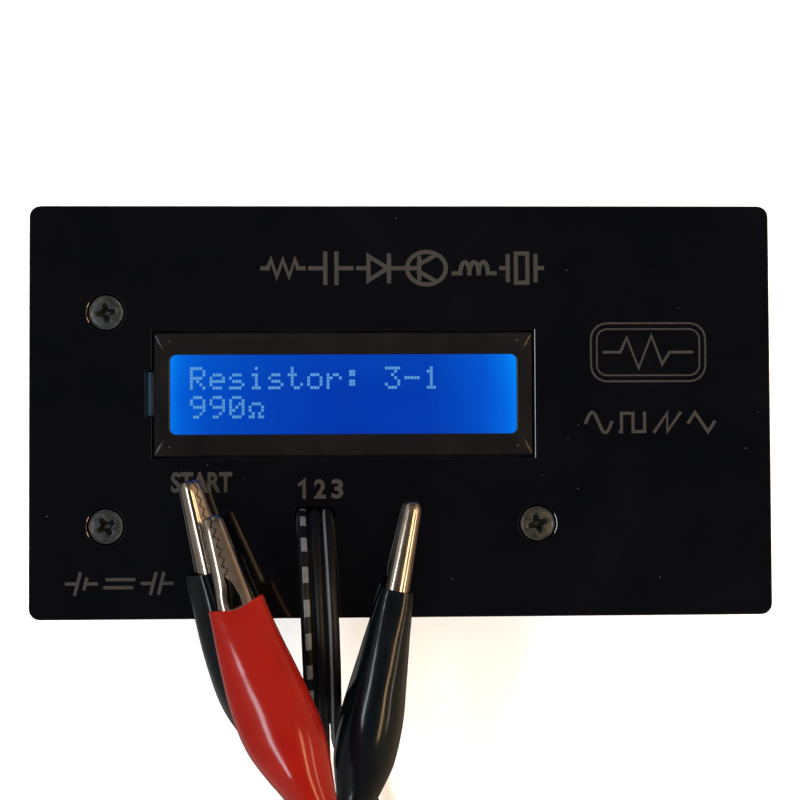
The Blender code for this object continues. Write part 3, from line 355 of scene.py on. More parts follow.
def engraving_look():
    """Matt grey laser marking with an uneven, speckled floor."""
    look = Look("laser_marking", (0.05, 0.05, 0.048), 0.75)
    speckle = look.noise(0.00028, 3.0, 0.7)
    greys = [(0.30, (0.010, 0.0095, 0.009)), (0.55, (0.019, 0.018, 0.017)), (0.8, (0.034, 0.032, 0.030))]
    evened = look.ramp(look.noise(0.004, 3.0), [(0.35, 0.0), (0.7, 0.45)])
    look.set("Base Color", look.mix(evened, look.ramp(speckle, greys), (0.015, 0.0145, 0.014)))
    look.bump(speckle, 0.00004, 0.8)
    return look.material


BACKLIGHT = [
    (0.000, (0.0003, 0.165, 0.80)),
    (0.030, (0.0003, 0.100, 0.64)),
    (0.100, (0.0004, 0.066, 0.52)),
    (0.280, (0.0006, 0.043, 0.43)),
    (0.500, (0.0006, 0.033, 0.385)),
    (0.760, (0.0006, 0.038, 0.41)),
    (0.900, (0.0004, 0.070, 0.56)),
    (0.970, (0.0003, 0.128, 0.73)),
    (1.000, (0.0003, 0.190, 0.87)),
]


def display_look():
    """Blue film lit from behind: brightest at its two ends, where the lamps are, and softly uneven."""
    look = Look("lit_display", (0.0, 0.004, 0.02), 0.14, IOR=1.5, Specular_IOR_Level=0.25)
    colour = look.ramp(look.share_across("X", WINDOW_X0, WINDOW_X1), BACKLIGHT)
    upwards = look.share_across("Y", WINDOW_Y0, WINDOW_Y1)
    weave = look.add("ShaderNodeTexNoise", {"Vector": look.place, "Scale": 5200.0, "Detail": 1.0})
    for pattern, stops in (
        (upwards, [(0.0, (0.93, 0.96, 0.97)), (0.5, (0.95, 0.97, 0.98)), (1.0, (1.05, 1.30, 1.08))]),
        (look.noise(0.012, 3.0), [(0.3, (0.94, 0.90, 0.97)), (0.7, (1.05, 1.10, 1.03))]),
        (weave.outputs["Fac"], [(0.3, (0.93, 0.93, 0.93)), (0.7, (1.06, 1.06, 1.06))]),
    ):
        colour = look.mix(1.0, colour, look.ramp(pattern, stops), "MULTIPLY")
    look.glow(colour)
    look.bump(look.noise(0.006, 2.0), 0.00001, 0.2)
    return look.material


def dot_look():
    """A lit dot of the display: paler and greyer than the film around it."""
    look = Look("display_dot", (0.02, 0.08, 0.16), 0.5)
    look.glow(look.ramp(look.noise(0.0012, 3.0), [(0.3, (0.022, 0.135, 0.36)), (0.7, (0.040, 0.175, 0.42))]))
    return look.material


def bezel_look():
    """Satin black paint on pressed steel, slightly worn to a warmer tone on its face."""
    look = Look("black_painted_steel", (0.004, 0.004, 0.0045), 0.28, IOR=1.45, Specular_IOR_Level=0.28)
    worn = look.noise(0.010, 4.0, 0.6)
    look.vary("Base Color", worn, (0.3, (0.0030, 0.0030, 0.0038)), (0.7, (0.0062, 0.0056, 0.0054)))
    look.vary("Roughness", look.noise(0.005), (0.3, 0.17), (0.7, 0.26))
    look.bump(look.noise(0.00035, 2.0), 0.000012, 0.6)
    return look.material


def vinyl_look(name, colour, deep, roughness, shine=0.5):
    """Soft glossy vinyl: slow dents, a fine orange peel and slightly greasy patches."""
    look = Look(name, colour, roughness, IOR=1.5, Specular_IOR_Level=shine)
    look.vary("Base Color", look.noise(0.009, 4.0, 0.6, distortion=0.4), (0.3, deep), (0.72, colour))
    greasy = look.noise(0.0045, 5.0, 0.65)
    look.vary("Roughness", greasy, (0.32, roughness * 0.8), (0.75, roughness * 1.35))
    skin = look.bump(look.noise(0.0011, 2.0), 0.00001, 0.35)
    look.bump(look.noise(0.0060, 2.0), 0.00006, 0.45, skin)
    return look.material


def nickel_look():
    """Bright nickel plating: rolling marks along the clip and a thin, warm tarnish."""
    look = Look("nickel_plate", (0.50, 0.44, 0.38), 0.17, 1.0)
    tones = [(0.3, (0.40, 0.335, 0.275)), (0.6, (0.51, 0.445, 0.38)), (0.9, (0.60, 0.545, 0.48))]
    look.vary("Base Color", look.noise(0.0045, 3.0, 0.5), *tones)
    look.vary("Roughness", look.noise(0.0040, 3.0), (0.3, 0.14), (0.75, 0.20))
    rolled = look.noise(0.00022, 2.0, 0.5, look.stretched((1.0, 0.06, 1.0), (0.0, 0.0, 0.2)))
    look.bump(rolled, 0.000002, 0.3)
    return look.material


def board_look():
    """Green solder mask over faint copper tracks."""
    look = Look("solder_mask", (0.01, 0.12, 0.05), 0.35)
    tracks = look.add(
        "ShaderNodeTexBrick",
        {
            "Vector": look.place,
            "Color1": (0.010, 0.105, 0.042, 1.0),
            "Color2": (0.014, 0.135, 0.052, 1.0),
            "Mortar": (0.022, 0.180, 0.070, 1.0),
            "Scale": 150.0,
            "Mortar Size": 0.03,
        },
    )
    look.set("Base Color", look.mix(look.noise(0.012), tracks.outputs["Color"], (0.008, 0.090, 0.036)))
    look.bump(look.noise(0.0004, 2.0), 0.00001, 0.5)
    return look.material


TAB_GLOW_DEPTH = 0.0008
TAB_GLOW_RISE = 2500.0


def light_guide_look():
    """Milky plastic that carries the backlight's blue to the tab in the notch."""
    look = Look("light_guide", (0.012, 0.016, 0.020), 0.45)
    streak = look.noise(0.0012, 3.0, 0.6, look.stretched((1.0, 0.25, 1.0)))
    look.vary("Base Color", streak, (0.3, (0.008, 0.012, 0.015)), (0.7, (0.020, 0.027, 0.032)))
    from_end = look.math("SUBTRACT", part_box("lcd_backlight")[0].x + TAB_GLOW_DEPTH, look.axis("X"))
    share = look.math("MULTIPLY", from_end, TAB_GLOW_RISE, clamp=True)
    look.glow(look.mix(share, (0.0, 0.0, 0.0), (0.012, 0.034, 0.056)))
    return look.material


def screw_look():
    """Blackened zinc, rubbed lighter and greenish in patches by handling."""
    look = Look("black_zinc", (0.05, 0.053, 0.055), 0.42, 0.85)
    tones = [(0.30, (0.018, 0.020, 0.021)), (0.55, (0.042, 0.046, 0.046)), (0.8, (0.085, 0.084, 0.076))]
    look.vary("Base Color", look.noise(0.0016, 5.0, 0.65), *tones)
    look.vary("Roughness", look.noise(0.0009), (0.3, 0.30), (0.75, 0.58))
    look.bump(look.noise(0.0003, 3.0), 0.00002, 0.6)
    return look.material


def tracer_look():
    """Grey ink printed on the lead, thin enough to be patchy."""
    look = Look("tracer_ink", (0.030, 0.031, 0.036), 0.42)
    worn = look.noise(0.0006, 4.0, 0.65)
    look.vary("Base Color", worn, (0.30, (0.052, 0.055, 0.060)), (0.75, (0.082, 0.085, 0.092)))
    look.bump(worn, 0.00001, 0.4)
    return look.material


def all_looks():
    return {
        "acrylic": acrylic_look(),
        "engraving": engraving_look(),
        "display": display_look(),
        "dot": dot_look(),
        "bezel": bezel_look(),
        "black_zinc": screw_look(),
        "guide": light_guide_look(),
        "board": board_look(),
        "nickel": nickel_look(),
        "tracer": tracer_look(),
        # name, colour, roughness, grain, relief, metallic
        "case": grained("case_abs", (0.011, 0.011, 0.012), 0.46, 0.00030, 0.00004, wear=0.06),
        "rubber": grained("foot_rubber", (0.016, 0.016, 0.016), 0.78, 0.00040, 0.00005, wear=0.06),
        "brass": grained("standoff_brass", (0.72, 0.53, 0.24), 0.28, 0.00030, 0.00001, 1.0, 0.12),
        "bright_steel": grained("bright_steel", (0.62, 0.62, 0.61), 0.28, 0.00030, 0.00001, 1.0, 0.12),
        "header": grained("header_plastic", (0.013, 0.013, 0.013), 0.5, 0.00025, 0.00002),
        "chip": grained("chip_epoxy", (0.017, 0.017, 0.018), 0.55, 0.00018, 0.00003),
        "can": grained("drawn_can", (0.70, 0.69, 0.67), 0.24, 0.00060, 0.00001, 1.0, 0.10),
        "sleeve": grained("capacitor_sleeve", (0.02, 0.03, 0.12), 0.38, 0.00050, 0.00001),
        "trimmer": grained("trimmer_blue", (0.02, 0.10, 0.45), 0.4, 0.00030, 0.00001),
        "rotor": grained("rotor_white", (0.72, 0.72, 0.68), 0.42, 0.00030, 0.00001, spread=0.06),
        "switch": grained("switch_plastic", (0.02, 0.02, 0.02), 0.42, 0.00025, 0.00002),
        "button": grained("button_plastic", (0.028, 0.028, 0.030), 0.36, 0.00025, 0.00002),
        "foil": grained("battery_jacket", (0.045, 0.055, 0.075), 0.33, 0.00080, 0.00002, 0.3),
        "snap": grained("snap_vinyl", (0.016, 0.016, 0.016), 0.58, 0.00040, 0.00003),
        "spring": grained("spring_steel", (0.46, 0.46, 0.47), 0.3, 0.00015, 0.00001, 1.0, 0.15),
        # name, colour, colour in its darker patches, roughness, shine
        "wire_red": vinyl_look("wire_red", (0.45, 0.012, 0.010), (0.34, 0.008, 0.006), 0.3),
        "wire_black": vinyl_look("wire_black", (0.012, 0.012, 0.013), (0.008, 0.008, 0.008), 0.3),
        "boot_black": vinyl_look("boot_black", (0.0016, 0.0034, 0.0052), (0.0010, 0.0019, 0.0028), 0.17, 0.3),
        "boot_red": vinyl_look("boot_red", (0.200, 0.0064, 0.0036), (0.160, 0.0046, 0.0026), 0.13, 0.3),
        "lead": vinyl_look("lead_vinyl", (0.0024, 0.0026, 0.0032), (0.0015, 0.0016, 0.0020), 0.36, 0.18),
    }


# ---- test leads

LEAD_RADIUS = 0.00108
LEAD_PITCH = 0.0023
LEAD_SIDES = 24
ROUGH_COUNT = 300
WEB_HALF_THICKNESS = 0.0003
DASH_PERIOD = 0.0056
RINGS_PER_PERIOD = 6
# Each lead's tracer: the sides that it covers, and how many rings of a period are inked
TRACERS = [
    ((22, 23, 0, 1), 3),  # dashes
    ((), 0),
    ((2, 3), RINGS_PER_PERIOD),  # an unbroken line
]
RIBBON_ROUTE = [
    (-0.0163, -0.0190, 0.0168), (-0.0163, -0.0190, 0.0235), (-0.0163, -0.0190, 0.0295),
    (-0.0162, -0.0200, 0.0334), (-0.0160, -0.0225, 0.0371), (-0.0157, -0.0264, 0.0403),
    (-0.0154, -0.0316, 0.0425), (-0.0151, -0.0376, 0.0432), (-0.0149, -0.0438, 0.0420),
    (-0.0148, -0.0494, 0.0384), (-0.0148, -0.0542, 0.0326), (-0.0148, -0.0587, 0.0256),
]
LEAD_LOOPS = [
    [
        (-0.0174, -0.0636, 0.0182), (-0.0184, -0.0692, 0.0110), (-0.0203, -0.0762, 0.0050),
        (-0.0230, -0.0842, 0.0024), (-0.0252, -0.0920, 0.0048), (-0.0250, -0.0985, 0.0125),
        (-0.0214, -0.1002, 0.0225), (-0.0170, -0.0962, 0.0312), (-0.0142, -0.0888, 0.0358),
        (-0.0136, -0.0816, 0.0370),
    ],
    [
        (-0.0148, -0.0640, 0.0178), (-0.0147, -0.0702, 0.0104), (-0.0144, -0.0792, 0.0046),
        (-0.0138, -0.0884, 0.0030), (-0.0122, -0.0968, 0.0068), (-0.0098, -0.1034, 0.0145),
        (-0.0072, -0.1068, 0.0250), (-0.0052, -0.1062, 0.0358), (-0.0044, -0.1014, 0.0454),
        (-0.0048, -0.0942, 0.0528), (-0.0066, -0.0858, 0.0570),
    ],
    [
        (-0.0121, -0.0636, 0.0180), (-0.0098, -0.0696, 0.0106), (-0.0060, -0.0764, 0.0046),
        (-0.0012, -0.0838, 0.0024), (0.0026, -0.0914, 0.0048), (0.0036, -0.0986, 0.0122),
        (0.0008, -0.1024, 0.0224), (-0.0044, -0.1008, 0.0322), (-0.0094, -0.0946, 0.0386),
        (-0.0118, -0.0868, 0.0413),
    ],
]

# Clips: distances along a clip run from the tip of its jaws to its tail
CLIP_PIVOT = 0.0185
JAW_LENGTH = 0.0350
# name, tip, a point behind it on the clip's axis, roll in degrees, how far the boot's tail bends along X
CLIPS = [
    ("clip_1", (-0.0388, -0.0125, 0.0366), (-0.0235, -0.0672, 0.0366), 45.0, 0.0042),
    ("clip_2", (-0.0343, -0.0188, 0.0412), (-0.0198, -0.0639, 0.0540), -90.0, 0.0040),
    ("clip_3", (0.0018, -0.0166, 0.0337), (-0.0084, -0.0661, 0.0395), 0.0, 0.0),
]
# distance, height off the clip's axis
LEAD_END = [
    (0.0660, 0.0), (0.0610, 0.0), (0.0570, 0.0), (0.0540, 0.0), (0.0512, 0.0),
    (0.0475, -0.0007), (0.0435, -0.0016), (0.0395, -0.0023), (0.0355, -0.0027), (0.0325, -0.0026),
]
BOOT_START = 0.0160
BOOT_END = 0.0560
# distance, half width, half height, squareness of the section
BOOT_OUTSIDE = [
    (BOOT_START, 0.00290, 0.00485, 4.0),
    (0.0180, 0.00325, 0.00505, 3.8),
    (0.0220, 0.00375, 0.00550, 3.2),
    (0.0285, 0.00450, 0.00628, 2.6),
    (0.0335, 0.00510, 0.00680, 2.3),
    (0.0385, 0.00565, 0.00695, 2.2),
    (0.0425, 0.00575, 0.00655, 2.1),
    (0.0470, 0.00540, 0.00540, 2.0),
    (0.0505, 0.00450, 0.00430, 2.0),
    (0.0535, 0.00360, 0.00350, 2.0),
    (BOOT_END, 0.00320, 0.00320, 2.0),
]
BOOT_INSIDE = [
    (BOOT_END, 0.00150, 0.00150, 2.0),
    (0.0515, 0.00150, 0.00150, 2.0),
    (0.0485, 0.00390, 0.00390, 2.0),
    (0.0425, 0.00495, 0.00570, 2.1),
    (0.0385, 0.00485, 0.00615, 2.2),
    (0.0335, 0.00430, 0.00605, 2.3),
    (0.0285, 0.00380, 0.00560, 2.6),
    (0.0220, 0.00315, 0.00495, 3.2),
    (0.0180, 0.00275, 0.00460, 3.8),
    (BOOT_START, 0.00250, 0.00445, 4.0),
]


def clip_matrix(tip, behind, roll):
    """The frame on a clip's pivot: +Y to the jaws' tip, +X along the hinge pin, +Z to the moving jaw."""
    to_tip = (Vector(tip) - Vector(behind)).normalized()
    level = to_tip.cross(Vector((0, 0, 1))).normalized()
    upright = level.cross(to_tip)
    turn = math.radians(roll)
    pin = math.cos(turn) * level + math.sin(turn) * upright
    opening = math.cos(turn) * upright - math.sin(turn) * level
    made = Matrix((pin, to_tip, opening)).transposed().to_4x4()
    made.translation = Vector(tip) - to_tip * CLIP_PIVOT
    return made


def bend_at(matrix, bend, distance):
    """How far, across the clip's own axes, the boot's centre line has left the clip's axis."""
    across = matrix.to_3x3().inverted() @ Vector((bend, 0.0, 0.0))
    share = (max(0.0, distance - BOOT_START) / (BOOT_END - BOOT_START)) ** 2
    return across.x * share, across.z * share


def lead_end_in_clip(matrix, bend):
    """The lead's last points: in through the boot's tail, then down into the fixed handle."""
    points = []
    for distance, height in LEAD_END:
        x, z = bend_at(matrix, bend, distance) if distance >= JAW_LENGTH + 0.0010 else (0.0, 0.0)
        points.append(matrix @ Vector((x, CLIP_PIVOT - distance, z + height)))
    return points


def direction_at(path, i):
    return (path[min(i + 1, len(path) - 1)] - path[max(i - 1, 0)]).normalized()


def lead_mesh(name, path, tracer, looks, web=False):
    """A round lead with a tracer printed along some of its sides."""
    bm = bmesh.new()
    rings = []
    normal = Vector((0.0, 1.0, 0.0))
    for i, place in enumerate(path):
        tangent = direction_at(path, i)
        normal = (normal - tangent * normal.dot(tangent)).normalized()
        across = tangent.cross(normal)
        ring = []
        for side in range(LEAD_SIDES):
            angle = 2 * math.pi * (side + 0.5) / LEAD_SIDES
            out = math.cos(angle) * normal + math.sin(angle) * across
            ring.append(bm.verts.new(place + LEAD_RADIUS * out))
        rings.append(ring)
    covered, inked = tracer
    for index, face in enumerate(loft(bm, rings)):
        ring, side = divmod(index, LEAD_SIDES)
        face.material_index = int((side + 1) % LEAD_SIDES in covered and ring % RINGS_PER_PERIOD < inked)
    if web:
        end = next(i for i, place in enumerate(path) if place.y < RIBBON_ROUTE[-1][1])
        add_web(bm, [place for place in path[:end] if place.z > PANEL_BACK])
    return new_object(name, bm, looks, 60.0)


def add_web(bm, path):
    """The thin skin that bonds the three leads side by side until they part."""
    rings = []
    for i, place in enumerate(path):
        tangent = direction_at(path, i)
        across = Vector((LEAD_PITCH, 0.0, 0.0))
        up = across.cross(tangent).normalized() * WEB_HALF_THICKNESS
        corners = ((-1, -1), (1, -1), (1, 1), (-1, 1))
        rings.append([bm.verts.new(place + x * across + z * up) for x, z in corners])
    loft(bm, rings)


def add_leads(looks):
    made = []
    for number, (clip, loop, tracer) in enumerate(zip(CLIPS, LEAD_LOOPS, TRACERS), 1):
        name, tip, behind, roll, bend = clip
        matrix = clip_matrix(tip, behind, roll)
        beside = (number - 2) * LEAD_PITCH
        whole = [(x + beside, y, z) for x, y, z in RIBBON_ROUTE] + loop + lead_end_in_clip(matrix, bend)
        rough = smooth_route(whole, ROUGH_COUNT)
        count = round(route_length(rough) / DASH_PERIOD * RINGS_PER_PERIOD)
        path = smooth_route(whole, count)
        lead = lead_mesh(f"lead_{number}", path, tracer, [looks["lead"], looks["tracer"]], number == 2)
        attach(lead, TESTER)
        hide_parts(f"test_lead_{number}")
        made.append((lead, path))
    return made


# ---- clips

JAW_SHEET = 0.0004
TEETH_START = 0.0020
TEETH_END = 0.0112
TOOTH_PITCH = 0.00184
TOOTH_HEIGHT = 0.0004
TOOTH_CHAMFER = 0.00012
HALF_GAP = 0.00007
PIN_HOLE = 0.00075
HOLE_REACH = 0.004
CROWN_RISE = 0.85
CROWN_POWER = 0.92
CROWN_STEPS = 16
LEAST_RISE = 0.00004
# Half a jaw's section: pairs of a distance and a height or a half width
CROWN = [
    (0.0, 0.00100),
    (0.00015, 0.00135),
    (0.00035, 0.00160),
    (0.0010, 0.00195),
    (0.0160, 0.0033),
    (0.0185, 0.0035),
    (0.0220, 0.0038),
    (JAW_LENGTH, 0.0047),
]
NOSE = [(0.0, 0.00060), (0.00015, 0.00090), (0.00035, 0.00112), (0.0010, 0.00150), (0.0020, 0.00168)]
WIDTH_MOVING = [*NOSE, (0.0160, 0.00222), (JAW_LENGTH, 0.0023)]
WIDTH_FIXED = [*NOSE, (0.0130, 0.00206), (0.0154, 0.0016), (JAW_LENGTH, 0.0016)]
EDGE = [
    (0.0, HALF_GAP),
    (TEETH_END, HALF_GAP),
    (0.0155, 0.0012),
    (0.0171, 0.0012),
    (0.0175, -0.0017),
    (0.0200, -0.0017),
    (0.0206, 0.0005),
    (0.0220, 0.0020),
    (JAW_LENGTH, 0.0032),
]
EXTRA_STATIONS = (0.0130, 0.0143, 0.0185, 0.0250, 0.0280, 0.0315)


def between(table, distance):
    """The value of a table's rows at a distance, in straight lines between its rows."""
    for (d0, low), (d1, high) in zip(table, table[1:]):
        if distance <= d1:
            return low + (high - low) * (distance - d0) / (d1 - d0)
    return table[-1][1]


def tooth_wave(distance):
    if not TEETH_START <= distance <= TEETH_END:
        return 0.0
    phase = (distance - TEETH_START) / TOOTH_PITCH % 1.0
    return TOOTH_HEIGHT * (1 - 4 * abs(phase - 0.5))


def jaw_section(half_width, crown, edge, sheet):
    """Flat-sided channel with a rounded crown: points from one edge over the crown to the other."""
    radius = max(half_width - sheet, 2 * LEAST_RISE)
    top = crown - sheet
    rise = min(radius * CROWN_RISE, max(top - edge - LEAST_RISE, LEAST_RISE))
    shoulder = top - rise
    chamfer = min(TOOTH_CHAMFER, radius * 0.2)
    points = [(-radius + chamfer, edge), (-radius, edge + chamfer)]
    for i in range(CROWN_STEPS + 1):
        angle = math.pi * (1 - i / CROWN_STEPS)
        c, s = math.cos(angle), math.sin(angle)
        across = math.copysign(radius * abs(c) ** CROWN_POWER, c)
        points.append((across, shoulder + rise * max(s, 0.0) ** CROWN_POWER))
    points += [(radius, edge + chamfer), (radius - chamfer, edge)]
    return points


def jaw(name, matrix, moving, looks):
    """One stamped jaw: toothed nose, ears around the pin, and a splayed handle."""
    bm = bmesh.new()
    side = 1 if moving else -1
    width_table = WIDTH_MOVING if moving else WIDTH_FIXED
    stations = {row[0] for row in NOSE}
    tooth_steps = round(2 * (TEETH_END - TEETH_START) / TOOTH_PITCH)
    stations |= {round(TEETH_START + i * TOOTH_PITCH / 2, 6) for i in range(tooth_steps + 1)}
    stations |= {row[0] for row in EDGE if row[0] > TEETH_END} | set(EXTRA_STATIONS)
    rings = []
    for distance in sorted(stations):
        half_width, crown, edge = (between(t, distance) for t in (width_table, CROWN, EDGE))
        wave = tooth_wave(distance)
        edge += wave if moving else -wave
        ring = []
        for sheet in (0.0, JAW_SHEET):
            points = jaw_section(half_width, crown, edge, sheet)
            ring.append([bm.verts.new((x, CLIP_PIVOT - distance, side * h)) for x, h in points])
        rings.append(ring[0] + ring[1][::-1])
    loft(bm, rings, False)
    last = len(rings[0]) - 1
    for ring in (rings[0], rings[-1]):
        for i in range(last // 2):
            bm.faces.new((ring[i], ring[i + 1], ring[last - i - 1], ring[last - i]))
    obj = new_object(name, bm, looks["nickel"], 40.0)
    hole = bmesh.new()
    add_prism(hole, circle_outline(PIN_HOLE, (0.0, 0.0), 24), -HOLE_REACH, HOLE_REACH)
    hole.transform(Matrix.Rotation(math.radians(90), 4, "Y"))
    cut_out(obj, hole)
    obj.data.set_sharp_from_angle(angle=math.radians(40.0))
    obj.data.transform(matrix)
    return obj


BOOT_SIDES = 48
BOOT_STEPS = (52, 30)  # outside, inside
# distance from the boot's end, half width, height
LIP = (0.0005, 0.0005, 0.00010)
COLLAR = (0.0012, 0.0007, 0.00016)
MOUTH_SAG = (0.0008, 0.0018, 0.0006)
SAG_REACH = 0.010
SAG_POWER = 1.5
DENTS = 0.00008
DENT_SCALE = 150.0
DENT_SEED = 3.7
DENTS_FULL_AFTER = 0.004


def section_points(half_width, half_height, squareness):
    points = []
    for i in range(BOOT_SIDES):
        angle = 2 * math.pi * i / BOOT_SIDES
        c, s = math.cos(angle), math.sin(angle)
        x = math.copysign(half_width * abs(c) ** (2 / squareness), c)
        z = math.copysign(half_height * abs(s) ** (2 / squareness), s)
        points.append((x, z))
    return points


def swelling(distance, middle, half_width, height):
    """A smooth bump near one of the boot's ends."""
    return height * math.exp(-(((distance - middle) / half_width) ** 2))


def boot(name, matrix, bend, look, seed, sag):
    """The soft cover: a sagging lip at the mouth, a swollen middle, and a collar around the lead."""
    bm = bmesh.new()
    up = matrix.to_3x3().inverted() @ Vector((0.0, 0.0, 1.0))

    def ring(distance, values, grow=0.0):
        width, height, squareness = values
        centre_x, centre_z = bend_at(matrix, bend, distance)
        centre = Vector((centre_x, 0.0, centre_z))
        inward = distance - BOOT_START
        near_mouth = max(0.0, 1 - inward / SAG_REACH) ** 2
        verts = []
        for x, z in section_points(width + grow, height + grow, squareness):
            place = Vector((x, CLIP_PIVOT - distance, z))
            out = Vector((x, 0.0, z)).normalized()
            dent = noise.noise(place * DENT_SCALE + Vector((seed, 0.0, 0.0))) * DENTS
            place.y -= sag * near_mouth * max(0.0, out.dot(up)) ** SAG_POWER
            verts.append(bm.verts.new(place + out * dent * min(1.0, inward / DENTS_FULL_AFTER) + centre))
        return verts

    rings = []
    steps = BOOT_STEPS[0]
    for i in range(steps + 1):
        distance = BOOT_START + (BOOT_END - BOOT_START) * i / steps
        grow = swelling(distance - BOOT_START, *LIP) + swelling(BOOT_END - distance, *COLLAR)
        rings.append(ring(distance, smooth_table(BOOT_OUTSIDE, distance), grow))
    steps = BOOT_STEPS[1]
    for i in range(steps + 1):
        distance = BOOT_END + (BOOT_START - BOOT_END) * i / steps
        rings.append(ring(distance, smooth_table(BOOT_INSIDE[::-1], distance)))
    loft(bm, [*rings, rings[0]], False)
    bm.transform(matrix)
    return new_object(name, bm, look, 50.0)


def clip_spring(name, looks):
    """The clip's spring: the model's spring mesh, welded into one smooth-shaded piece."""
    bm = bmesh.new()
    bm.from_mesh(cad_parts[f"{name}_spring"].data)
    bmesh.ops.remove_doubles(bm, verts=bm.verts, dist=WELD_DISTANCE)
    piece = new_object(f"{name}_coil_spring", bm, looks["spring"], 50.0)
    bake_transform(piece)
    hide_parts(f"{name}_spring")
    return piece


def add_clips(looks):
    clip_pieces = []
    for number, (name, tip, behind, roll, bend) in enumerate(CLIPS, 1):
        matrix = clip_matrix(tip, behind, roll)
        fixed = jaw(f"{name}_lower_jaw", matrix, False, looks)
        moving = jaw(f"{name}_upper_jaw", matrix, True, looks)
        colour = "boot_red" if number == 2 else "boot_black"
        seed, sag = DENT_SEED * number, MOUTH_SAG[number - 1]
        cover = boot(f"{name}_cover", matrix, bend, looks[colour], seed, sag)
        for piece, body, node, slot in (
            (fixed, TESTER, f"{name}_fixed_jaw", "clip_nickel"),
            (moving, f"{name}_jaw", f"{name}_moving_jaw", "clip_nickel"),
            (cover, TESTER, f"{name}_boot", colour),
        ):
            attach(piece, body)
            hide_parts(node)
        spring = clip_spring(name, looks)
        clip_pieces.append([fixed, moving, cover, spring, f"{name}_pivot_pin"])
    return clip_pieces


# ---- display

BEZEL_LOW, BEZEL_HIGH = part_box("lcd_bezel")
BEZEL_CENTRE = ((BEZEL_LOW.x + BEZEL_HIGH.x) / 2, (BEZEL_LOW.y + BEZEL_HIGH.y) / 2)
WINDOW_WIDTH = 0.0640
WINDOW_DEPTH = 0.0147
WINDOW_CORNER = 0.0011
WINDOW_X0, WINDOW_X1 = BEZEL_CENTRE[0] - WINDOW_WIDTH / 2, BEZEL_CENTRE[0] + WINDOW_WIDTH / 2
WINDOW_Y0, WINDOW_Y1 = BEZEL_CENTRE[1] - WINDOW_DEPTH / 2, BEZEL_CENTRE[1] + WINDOW_DEPTH / 2
DOT_PITCH_X = 0.000575
DOT_PITCH_Y = 0.000600
DOT_WIDTH = 0.00050
DOT_DEPTH = 0.00052
DOT_HEIGHT = 0.00002
DOT_LIFT = 0.00001
CHARACTER_PITCH = 0.00360
READ_OUT_LEFT = -0.0392
READ_OUT = [(0.00826, "Resistor: 3-1"), (0.00290, ["9", "9", "0", "ohm"])]
GLYPHS = {
    "R": "####. #...# #...# ####. #.#.. #..#. #...#",
    "e": "..... ..... .###. #...# ##### #.... .###.",
    "s": "..... ..... .###. #.... .###. ....# ####.",
    "i": "..#.. ..... .##.. ..#.. ..#.. ..#.. .###.",
    "t": ".#... .#... ###.. .#... .#... .#..# ..##.",
    "o": "..... ..... .###. #...# #...# #...# .###.",
    "r": "..... ..... #.##. ##..# #.... #.... #....",
    ":": "..... .##.. .##.. ..... .##.. .##.. .....",
    "3": "##### ...#. ..#.. ...#. ....# #...# .###.",
    "-": "..... ..... ..... ##### ..... ..... .....",
    "1": "..#.. .##.. ..#.. ..#.. ..#.. ..#.. .###.",
    "9": ".###. #...# #...# .#### ....# ...#. .##..",
    "0": ".###. #...# #..## #.#.# ##..# #...# .###.",
    "ohm": "..... ..... .###. #...# #...# .#.#. ##.##",
}


BEZEL_CORNER = 0.0003
BEZEL_SHEET = 0.0005
# inset along X, inset along Y, drop below the face
BEZEL_EDGE = [
    (0.00000, 0.00000, BEZEL_HIGH.z - BEZEL_LOW.z),
    (0.00000, 0.00000, 0.00070),
    (0.00000, 0.00003, 0.00042),
    (0.00002, 0.00012, 0.00020),
    (0.00006, 0.00026, 0.00007),
    (0.00012, 0.00042, 0.00000),
]
# growth of the window, drop below the face
WINDOW_EDGE = [(0.00030, 0.0), (0.00014, 0.00003), (0.00004, 0.00011), (0.0, 0.00024), (0.0, 0.0005)]
DIMPLE_INSETS = (0.0028, 0.0018, 0.0016)  # from the sides, the front and the back
# radius, lift above the face
CORNER_DIMPLE = [(0.00030, -0.00003), (0.00026, 0.00004), (0.00012, 0.00007)]


def bezel(looks):
    """The pressed frame: long edges rolled over, short edges cut square, and a window turned in."""
    bm = bmesh.new()
    low, top = BEZEL_LOW.z, BEZEL_HIGH.z
    width, depth = BEZEL_HIGH.x - BEZEL_LOW.x, BEZEL_HIGH.y - BEZEL_LOW.y
    outlines = [(width - 2 * x, depth - 2 * y, BEZEL_CORNER, top - drop) for x, y, drop in BEZEL_EDGE]
    for growth, drop in WINDOW_EDGE:
        size = (WINDOW_WIDTH + 2 * growth, WINDOW_DEPTH + 2 * growth)
        outlines.append((*size, WINDOW_CORNER + growth, top - drop))
    inner = (width - 2 * BEZEL_SHEET, depth - 2 * BEZEL_SHEET, 0.0002)
    outlines += [(*inner, z) for z in (top - 0.0007, low)]
    rings = [add_ring(bm, rounded_outline(x, y, radius, 6, BEZEL_CENTRE), z) for x, y, radius, z in outlines]
    loft(bm, [*rings, rings[0]], False)
    obj = new_object("display_bezel", bm, looks["bezel"], 32.0)
    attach(obj, TESTER)
    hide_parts("lcd_bezel")


def bezel_marks(looks):
    """Small dimples where the frame's corners were pressed."""
    bm = bmesh.new()
    side, front, back = DIMPLE_INSETS
    for x in (BEZEL_LOW.x + side, BEZEL_HIGH.x - side):
        for y in (BEZEL_LOW.y + front, BEZEL_HIGH.y - back):
            rings = [(circle_outline(radius, (x, y), 12), lift) for radius, lift in CORNER_DIMPLE]
            loft(bm, [add_ring(bm, outline, BEZEL_HIGH.z + lift) for outline, lift in rings])
    obj = new_object("bezel_corner_marks", bm, looks["black_zinc"], 60.0)
    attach(obj, TESTER)


